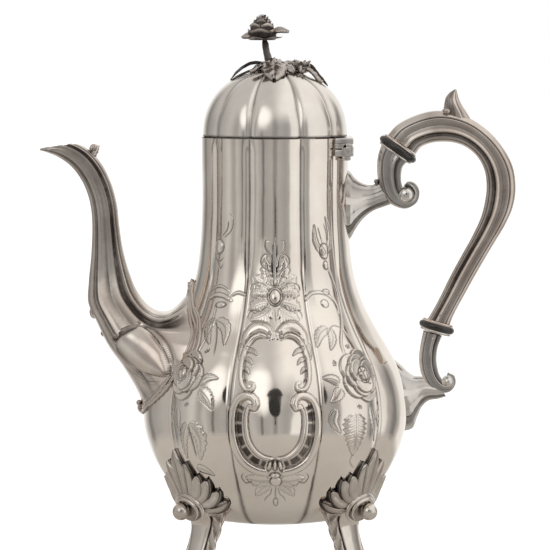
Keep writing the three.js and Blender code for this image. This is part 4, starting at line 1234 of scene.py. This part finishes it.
def bloom_petal(angle, spread, radius, rise, base, flare, low, high):
    """A petal of the rose: a patch of a dome from latitude low to high, whose rim flares out."""
    u = np.linspace(0, 1, 16)[:, None]
    v = np.linspace(-1, 1, 21)[None, :]
    latitude = np.radians(low + (high - low) * u * (1 - 0.28 * v**2))
    turn = angle + math.radians(spread) * v * (0.75 + 0.25 * u)
    reach = radius * np.cos(latitude) + flare * u**2.5 - 0.5 * v**2 * u
    z = base + rise * np.sin(latitude) + 0.2 * np.cos(5 * v) * u**3
    front = np.stack([reach * np.cos(turn), reach * np.sin(turn), z], axis=-1)
    inward = np.stack([0.55 * np.cos(turn), 0.55 * np.sin(turn), np.full_like(turn, 0.35)], axis=-1)
    back = (front - inward)[:, ::-1]
    dark = np.concatenate([0.95 * smoothstep(1 - u, 0.1, 0.4) + 0 * v, np.full((16, 21), 0.65)], axis=1)
    return closed_grid(np.concatenate([front, back], axis=1), dark)


def build_bloom(finish):
    """The rose: saucer petals below, then rings of petals closing on a coiled heart, and two leaves."""
    rings = [
        # petals, half spread, radius, rise, base, flare, lowest and highest latitude
        (6, 38, 7.2, 2.2, 0.2, 3.6, -20, 20), (5, 44, 7.0, 6.0, 1.0, 2.0, -10, 38),
        (5, 40, 6.4, 8.0, 1.4, 1.7, 8, 50), (5, 40, 5.7, 8.9, 1.8, 1.5, 22, 60),
        (4, 46, 4.6, 9.6, 2.0, 1.2, 34, 67), (3, 56, 3.2, 9.9, 2.2, 0.9, 44, 70),
    ]
    shapes = [ball((0, 0, 4.2), (5.0, 5.0, 4.8)), ball((0, 0, 10.5), (1.6, 1.6, 1.5), lumps=0.2, turns=3)]
    for ring, (count, spread, radius, rise, base, flare, low, high) in enumerate(rings):
        for i in range(count):
            uneven = 1 + 0.28 * math.sin(2.4 * i + ring)
            turn = math.radians(360 * i / count + 37 * ring + 8)
            top = high + 3 * (uneven - 1)
            shapes.append(bloom_petal(turn, spread, radius, rise, base, flare * uneven, low, top))
    vertices, faces, dark = joined(shapes)
    flower = (vertices + np.array([-6.4, 0, 269.8]), faces, dark)
    right_rib = [(-0.6, -1.2, 273.6), (2.6, -1.6, 274.2), (7.0, -1.8, 273.0)]
    left_rib = [(-10.5, -1.5, 271.8), (-14, -2, 271.2), (-16.6, -2, 270.2)]
    leaves = [
        blade(right_rib, 2.3, (0.1, -0.75, 1), dome=0.8),
        blade(left_rib, 2.6, (-0.2, -0.7, 1), dome=0.7),
    ]
    add_piece("finial_rose", joined([flower, *leaves]), "lid", "finial_bloom", finish)


def on_lid(r, azimuth, lift):
    """A point over the lid, at an azimuth counted from +X towards +Y."""
    height = max(0.0, 1 - (r / LID_RADIUS) ** LID_ROUNDNESS) ** (1 / LID_ROUNDNESS)
    angle = math.radians(azimuth)
    return (r * math.cos(angle), r * math.sin(angle), LID_BASE + LID_RISE * height + lift)


def lid_leaf(azimuth, start, reach, widest, lift=1.0):
    """A notched leaf that lies down on the lid as it runs outwards."""
    heights = (3.4, 2.9, 2.2, lift, lift * 0.5)
    points = [on_lid(r, azimuth, h) for r, h in zip(np.linspace(start, reach, 5), heights)]
    angle = math.radians(azimuth)
    out = (0.3 * math.cos(angle), 0.3 * math.sin(angle), 1)
    return blade(
        points, widest, out, dome=1.3, thick=0.7, tip=0.9, blunt=0.55, veins=4, notch=0.2, samples=40,
        patina=0.45,
    )


def black_twig(points, radii):
    """A thin twig, black with tarnish."""
    return tube(points, radii, knobs=0.1, dark=1.0)


def build_finial_leaves(finish):
    """Leaves and twigs that lie over the top of the lid."""
    upper_twig = [(-5, -1, 257.8), (-12.5, -1.4, 257.2), (-18.5, -1.5, 253.4), (-22.4, -1.2, 248.9)]
    lower_twig = [(-8.5, -1.8, 254.8), (-15, -1.6, 252.6), (-22.2, -1.4, 248.8)]
    right_twig = [(14, -1, 257.2), (17.4, -1.6, 256.4), (21.2, -2, 252), (26.4, -2.4, 246)]
    sprays = {
        "left": [
            black_twig(upper_twig, (0.9, 0.8, 0.5)),
            black_twig(lower_twig, (0.7, 0.6, 0.5)),
            lid_leaf(196, 5, 13, 2.6, lift=0.8),
        ],
        "right": [black_twig(right_twig, (1.0, 0.95, 0.7)), lid_leaf(-12, 16, 24, 2.2, lift=0.7)],
        "front": [lid_leaf(-91, 1.5, 21.4, 6.2), lid_leaf(-48, 2, 14.6, 3.8, lift=1.4)],
        "back": [lid_leaf(98, 1.5, 21, 6.0), lid_leaf(140, 2, 14, 3.6, lift=1.2)],
    }
    for side, shapes in sprays.items():
        name = "finial_leaf_" + side
        add_piece(name + "_veined", joined(shapes), "lid", name, finish)


def build_buds(finish):
    """A spray of half-open buds to the right of the twig."""
    shapes = [
        tube([(3, -0.8, 257.2), (8, -1.2, 257.6), (13, -0.8, 256)], (1.2, 1.0, 0.9), knobs=0.2),
        ball((13.6, -0.8, 255.2), (3.6, 3.0, 3.1), lumps=0.22, turns=6),
        ball((10.4, -2.6, 257.2), (2.2, 2.0, 2.0), lumps=0.2),
        ball((16.4, -1.6, 255.4), (2.3, 2.0, 2.1), lumps=0.2),
    ]
    root = np.array([13.2, -1, 255.6])
    for i in range(7):
        angle = math.radians(51 * i + 12)
        way = np.array([math.cos(angle), 0.7 * math.sin(angle) - 0.35, 0.55 + 0.2 * math.sin(2 * angle)])
        points = [root, root + 2.6 * way, root + 4.6 * way]
        shapes.append(blade(points, 1.3, (0, -0.5, 1), dome=0.5, thick=0.4, samples=16))
    add_piece("finial_bud_spray", joined(shapes), "lid", "finial_buds", finish)


# ---- feet ----------------------------------------------------------------------------------------

FOOT_BEARING = 55.0
FOOT_LEAVES = [
    # degrees beside the middle, height of the tip, half width, ribs, bluntness
    (0, 66.6, 5.0, 4, 0.9), (8, 60.6, 3.9, 2, 0.8), (13.8, 54.6, 3.8, 0, 0.7), (18.8, 52.4, 3.7, 0, 0.65),
    (23.2, 46.8, 3.6, 0, 0.65), (26.4, 41.4, 3.2, 3, 0.7),
]
LEG_STATIONS = [
    # distance from the axis, height, half thickness, half width
    (43.5, 38, 7.5, 12), (41.6, 33, 6.6, 11.6), (41.4, 28.6, 5.6, 10), (42.8, 22.8, 5.0, 8.9),
    (45.4, 15, 4.5, 8.2), (48.2, 8.6, 4.1, 8.0), (50.8, 3.6, 3.6, 7.6), (51.6, 1.6, 3.3, 7.0),
]


def foot_point(degrees, r, z):
    """A point at degrees beside the foot's bearing."""
    angle = math.radians(FOOT_BEARING + degrees)
    return np.array([r * math.sin(angle), -r * math.cos(angle), z])


def foot_frame(flat):
    """Points given as (distance from the axis, sideways, height), turned to the foot's bearing."""
    angle = math.radians(FOOT_BEARING)
    r, side, z = flat[..., 0], flat[..., 1], flat[..., 2]
    x = r * math.sin(angle) - side * math.cos(angle)
    y = -r * math.cos(angle) - side * math.sin(angle)
    return np.stack([x, y, z], axis=-1)


def foot_leaf(degrees, tip, widest, ribs, blunt, ground):
    """A shell leaf that rises from the collar and lies down on the body, or the dark ground under it."""
    root_z = 36 + 0.14 * (tip - 36)
    low = 1.3 if ground else 0
    root = foot_point(degrees * 0.34, 53.4 - 0.09 * abs(degrees) - low, root_z + 1)
    middle_z = root_z + (tip - root_z) * 0.5
    middle = np.array(on_body(FOOT_BEARING + degrees * 0.75, middle_z, 4.2 - low))
    near = np.array(on_body(FOOT_BEARING + degrees * 0.94, root_z + (tip - root_z) * 0.85, 2.4 - low))
    end = np.array(on_body(FOOT_BEARING + degrees * (1 + 0.03 * ground), tip + 0.8 * ground, 1.5 - low))
    angle = math.radians(FOOT_BEARING + degrees)
    out = (math.sin(angle), -math.cos(angle), -0.15)
    size = {"dome": 0.8, "shade": 0.55} if ground else {"dome": 1.2, "hollow": 0 if ribs else 0.7}
    return blade(
        [root, middle, near, end], widest + 0.5 * ground, out, thick=1.2, tip=1.3, blunt=blunt, ribs=ribs,
        veins=0, samples=40, patina=0.75, **size,
    )


def foot_leg():
    """The leg: a flared stem with a polished facet on its outer side and acanthus beside it."""
    rows = spline(LEG_STATIONS, 130)
    angle = np.linspace(0, 360, 200, endpoint=False)
    share = np.linspace(0, 1, len(rows))[:, None]
    half = np.abs((angle + 180) % 360 - 180)[None, :]
    groove = bell(half - 60, 5) + bell(half - 140, 6)
    lobe = share * 5 + np.abs(half - 98) / 40
    vein = 0.5 - 0.5 * np.cos(2 * np.pi * lobe)
    leafy = smoothstep(half, 62, 68) * smoothstep(138 - half, 0, 8) * (1 - smoothstep(share, 0.74, 0.9))
    midrib = bell(half - 98, 4) * leafy
    radius = 1 - 0.12 * groove + leafy * (0.05 - 0.11 * (1 - vein)) + 0.06 * midrib
    cos, sin = np.cos(np.radians(angle)), np.sin(np.radians(angle))
    out = np.sign(cos) * np.abs(cos) ** 0.8 * radius * rows[:, 2:3]
    side = np.sign(sin) * np.abs(sin) ** 0.8 * radius * rows[:, 3:4]
    tilt = np.gradient(rows[:, 0]) / np.gradient(rows[:, 1])
    z = rows[:, 1:2] - out * tilt[:, None] * 0.6
    flat = np.stack([rows[:, 0:1] + out, side, np.maximum(z, 0.25)], axis=-1)
    dark = np.clip(0.8 * groove + leafy * (0.12 + 0.35 * (1 - vein) ** 2 - 0.2 * midrib), 0, 0.95)
    return closed_grid(foot_frame(flat), dark)


def foot_collar(r, half_width, rise, minor):
    """A bead that arches over the ball, from one side of it to the other."""
    angle = np.radians(np.linspace(-118, 118, 11))
    sin, cos = np.sin(angle), np.cos(angle)
    loop = np.stack([r - 3.4 * sin**2, half_width * sin, 35.2 + rise * cos], axis=1)
    radii = (minor * 0.7, minor, minor, minor, minor * 0.7)
    return tube(foot_frame(loop), radii, samples=70, around=24)


def foot_cup():
    """The dark hollow behind the ball."""
    turns, rises = np.linspace(0, 360, 60, endpoint=False), np.linspace(-89, 89, 30)
    around, up = np.meshgrid(np.radians(turns), np.radians(rises))
    r, side = 50.6 + 3.0 * np.cos(up) * np.cos(around), 9.4 * np.cos(up) * np.sin(around)
    return closed_grid(foot_frame(np.stack([r, side, 37.2 + 6.4 * np.sin(up)], axis=-1)), 0.5)


def foot_shapes():
    """The shapes of the front right foot."""
    shapes = []
    for degrees, *form in FOOT_LEAVES:
        for side in (-1, 1) if degrees else (1,):
            for ground in (0, 1):
                shapes.append(foot_leaf(side * degrees, *form, ground))
    for side in (-1, 1):
        shapes.append(foot_leaf(side * 22.6, 39.0, 2.6, 0, 0.6, 0))
        shapes.append(foot_leaf(side * 17, 36, 2.6, 0, 0.6, 0))
    toe_profile = [(0.1, 0.05), (0.1, 6.2), (0.7, 7.0), (2.0, 7.2), (3.2, 6.4), (3.8, 5), (4, 0.05)]
    sideways = foot_frame(np.array([0.0, 1.0, 0.0]))
    return shapes + [
        foot_leg(),
        foot_collar(54.6, 11.0, 8.6, 1.5),
        foot_collar(56.0, 8.4, 6.8, 1.1),
        foot_cup(),
        ball(foot_point(0, 56.8, 35.8), (4.3, 4.3, 4.3), around=56, rings=36),
        turned(foot_point(0, 51, 0), (0, 0, 1), toe_profile, 64),
        turned(foot_point(0, 55.6, 3.6), sideways, rounded_disc(6.2, 3.3, bulge=0.5), 48),
    ]


def build_feet(finish):
    """One foot, and its three mirrored copies."""
    vertices, faces, dark = joined(foot_shapes())
    for end, y in (("front", 1), ("back", -1)):
        for side, x in (("right", 1), ("left", -1)):
            name = f"foot_{end}_{side}"
            facing = faces[:, ::-1] if x * y < 0 else faces
            copy = (vertices * np.array([x, y, 1]), facing, dark)
            add_piece(name + "_cast", copy, "pot", name, finish)


# ---- base ----------------------------------------------------------------------------------------


def build_base(finish):
    """The disc let into the bottom, with two turned rings."""
    profile = [
        (0.3, 0.05), (0.3, 8), (-0.3, 9), (0.3, 10), (0.3, 19), (-0.4, 20), (0.2, 21), (0.1, 23.4),
        (1.2, 23.6), (1.2, 0.05),
    ]
    add_piece("base_turned", turned((0, 0, 28.5), (0, 0, 1), profile, 120), "pot", "base_disc", finish)


# ---- scene ---------------------------------------------------------------------------------------


def by_ray(tree, seen, mirrored_colour):
    """One colour or socket for the camera, and another for what the silver mirrors."""
    path = node(tree, "LightPath")
    return mixed(tree, path.outputs["Is Camera Ray"], mirrored_colour, seen)


def vector_result(tree, operation, output, *inputs):
    """The result of a VectorMath node."""
    return node(tree, "VectorMath", dict(enumerate(inputs)), operation=operation).outputs[output]


def mirrored_below(tree, height):
    """1 for rays that come from below a height in metres."""
    place, path = node(tree, "NewGeometry").outputs, node(tree, "LightPath").outputs
    start = vector_result(
        tree, "MULTIPLY_ADD", "Vector", place["Incoming"], path["Ray Length"], place["Position"]
    )
    level = node(tree, "SeparateXYZ", {"Vector": start}).outputs["Z"]
    return calculated(tree, "LESS_THAN", level, height)


def dark_cloth():
    """Black cloth, thin at its edges, which only silver below LID_MIRROR_HEIGHT mirrors."""
    material, tree, shader = new_material("dark_cloth")
    cover = mapped(tree, node(tree, "LayerWeight").outputs["Facing"], 1.0, 0.75, smooth=True)
    seen = calculated(tree, "MULTIPLY", cover, mirrored_below(tree, LID_MIRROR_HEIGHT))
    feed(tree, shader, {"Base Color": (0.01, 0.01, 0.012, 1), "Alpha": seen})
    return material


def dark_tripod(y):
    """The dark shape that stands behind the viewpoint: a cloth-covered camera on a stand."""
    vertices, faces, _ = joined([
        ball((0, y, 1150), (780, 90, 620)),
        tube([(0, y, 900), (0, y, 0)], (30, 50, 130)),
    ])
    mesh = bpy.data.meshes.new("tripod")
    mesh.from_pydata((vertices * MM).tolist(), [], faces.tolist())
    mesh.materials.append(dark_cloth())
    add_object("tripod", mesh)


def table_edge(tree):
    """1 on the table, and for the camera everywhere, but 0 beyond the table for reflections."""
    place = node(tree, "TexCoord").outputs["Object"]
    distance = vector_result(tree, "LENGTH", "Value", place)
    near = mapped(tree, distance, TABLE_RADIUS + TABLE_FADE, TABLE_RADIUS)
    return calculated(tree, "MAXIMUM", near, node(tree, "LightPath").outputs["Is Camera Ray"])


def floor_paint():
    """White paper that glows a little, as if lit from all round, with soft contact shadows."""
    material, tree, shader = new_material("pale_floor")
    feed(tree, shader, {
        "Roughness": 0.8,
        "Specular IOR Level": 0.0,
        "Base Color": by_ray(tree, (0.62, 0.62, 0.62), (0.42, 0.405, 0.38)),
        "Emission Color": by_ray(tree, (0.70, 0.70, 0.70), (0.21, 0.202, 0.19)),
        "Emission Strength": 1.0,
        "Alpha": table_edge(tree),
    })
    return material


def room_colour(tree):
    """Walls of uneven brightness round the room, a ceiling that is brighter to the right, and a window."""
    direction = node(tree, "TexCoord").outputs["Generated"]
    split = node(tree, "SeparateXYZ", {"Vector": direction}).outputs
    azimuth = calculated(tree, "ARCTAN2", split["X"], calculated(tree, "MULTIPLY", split["Y"], -1))
    turn = calculated(tree, "MULTIPLY_ADD", azimuth, 0.5 / math.pi, 0.5)
    stops = [(degrees / 360 + 0.5, tuple(value * tint for tint in WALL_TINT)) for degrees, value in WALLS]
    walls = ramp(tree, turn, stops, "EASE")
    sideways = mapped(tree, split["X"], -0.15, 0.35, smooth=True)
    ceiling = ramp(tree, sideways, [(0, (0.62, 0.605, 0.58)), (1, (1.04, 1.02, 0.98))])
    sky = mixed(tree, mapped(tree, split["Z"], 0.22, 0.7, smooth=True), walls, ceiling)
    toward = vector_result(tree, "DOT_PRODUCT", "Value", direction, WINDOW)
    room = mixed(tree, mapped(tree, toward, 0.90, 0.985, smooth=True), sky, (1.25, 1.24, 1.2))
    return by_ray(tree, (1.0, 1.0, 1.0), room)


def aimed_object(name, data, place, direction):
    """A light or a camera at a place in metres, looking along a direction."""
    made = add_object(name, data)
    made.location = place
    made.rotation_mode = "QUATERNION"
    made.rotation_quaternion = direction.to_track_quat("-Z", "Y")
    return made


def studio():
    """A pale floor in a warm grey room, a dark tripod behind the camera, and one soft light."""
    bpy.ops.mesh.primitive_plane_add(size=FLOOR_SIZE, location=(0, 0, 0))
    floor = bpy.context.object
    floor.name = "studio_floor"
    floor.data.materials.append(floor_paint())
    dark_tripod(-VIEW_DISTANCE - 200)
    world = bpy.data.worlds.new("studio")
    bpy.context.scene.world = world
    world.use_nodes = True
    tree = world.node_tree
    feed(tree, tree.nodes["Background"], {"Color": room_colour(tree)})
    light = bpy.data.lights.new("key_softbox", "AREA")
    light.size = 0.95
    light.energy = 4.6
    place = Vector((-1.15, -1.65, 1.4))
    lamp = aimed_object("key_softbox", light, place, Vector((0, 0, 0.13)) - place)
    lamp.visible_glossy = False
    bpy.context.scene.view_settings.view_transform = "Standard"


def camera():
    """A little above the pot's middle, far enough away to flatten it as a long lens does."""
    rise = math.radians(VIEW_RISE)
    aim = Vector((0, 0, VIEW_MIDDLE * MM))
    back = Vector((0, -math.cos(rise), math.sin(rise)))
    data = bpy.data.cameras.new("camera")
    data.sensor_width = 36
    data.lens = data.sensor_width * VIEW_DISTANCE / VIEW_WIDTH
    bpy.context.scene.camera = aimed_object("camera", data, aim + back * VIEW_DISTANCE * MM, -back)


# ---- assembly ------------------------------------------------------------------------------------

polished = silver("polished_silver", (0.885, 0.83, 0.77), 0.085)
satin = silver("polished_silver_lid", (0.84, 0.805, 0.765), 0.15)
worn = silver("tarnished_silver", (0.80, 0.74, 0.685), 0.12, patina=0.6, mottle=0.13)
warm = silver("tarnished_silver_spout", (0.88, 0.825, 0.765), 0.12, patina=0.5, mottle=0.12)
cool = silver("tarnished_silver_sockets", (0.75, 0.735, 0.715), 0.12, patina=0.6, mottle=0.08)
oxidised = silver("oxidised_silver", (0.71, 0.672, 0.635), 0.17, patina=0.65, mottle=0.12)
shells = silver("oxidised_silver_feet", (0.80, 0.75, 0.695), 0.15, patina=0.6, mottle=0.12)
black = ebonite("ebonite")

build_body((polished, "polished_silver"))
build_base((polished, "polished_silver"))
build_lid((satin, "polished_silver"))
build_spout((warm, "tarnished_silver"))
build_grip((worn, "tarnished_silver"))
build_insulator("upper_insulator", UPPER_RING, (black, "ebonite"))
build_insulator("lower_insulator", LOWER_RING, (black, "ebonite"))
for name, ring, stations, volute, bracket in (
    ("upper_socket", UPPER_RING, UPPER_SOCKET_STATIONS, (65.6, 191.8, 4.6, 5.9), UPPER_BRACKET_STATIONS),
    ("lower_socket", LOWER_RING, LOWER_SOCKET_STATIONS, (86.4, 98.2, 3.2, 5.0), LOWER_BRACKET_STATIONS),
):
    build_socket(name, ring, stations, volute, bracket, (cool, "tarnished_silver"))
build_hinge((cool, "polished_silver"))
for build in (build_branch, build_bloom, build_finial_leaves, build_buds):
    build((oxidised, "oxidised_silver"))
build_feet((shells, "oxidised_silver"))

SLOT_MATERIALS = {
    "polished_silver": polished, "tarnished_silver": worn, "oxidised_silver": oxidised, "ebonite": black,
}
for part in frame["record"]["subparts"]:
    cad_mesh = frame["nodes"][part["node"]].data
    cad_mesh.materials.clear()
    cad_mesh.materials.append(SLOT_MATERIALS[part["material_slot"]])

for piece_name in ("lower_socket_scroll", "lower_insulator_ring"):
    bpy.data.objects[piece_name].visible_glossy = False  # the photo's body shows no image of them
studio()
camera()
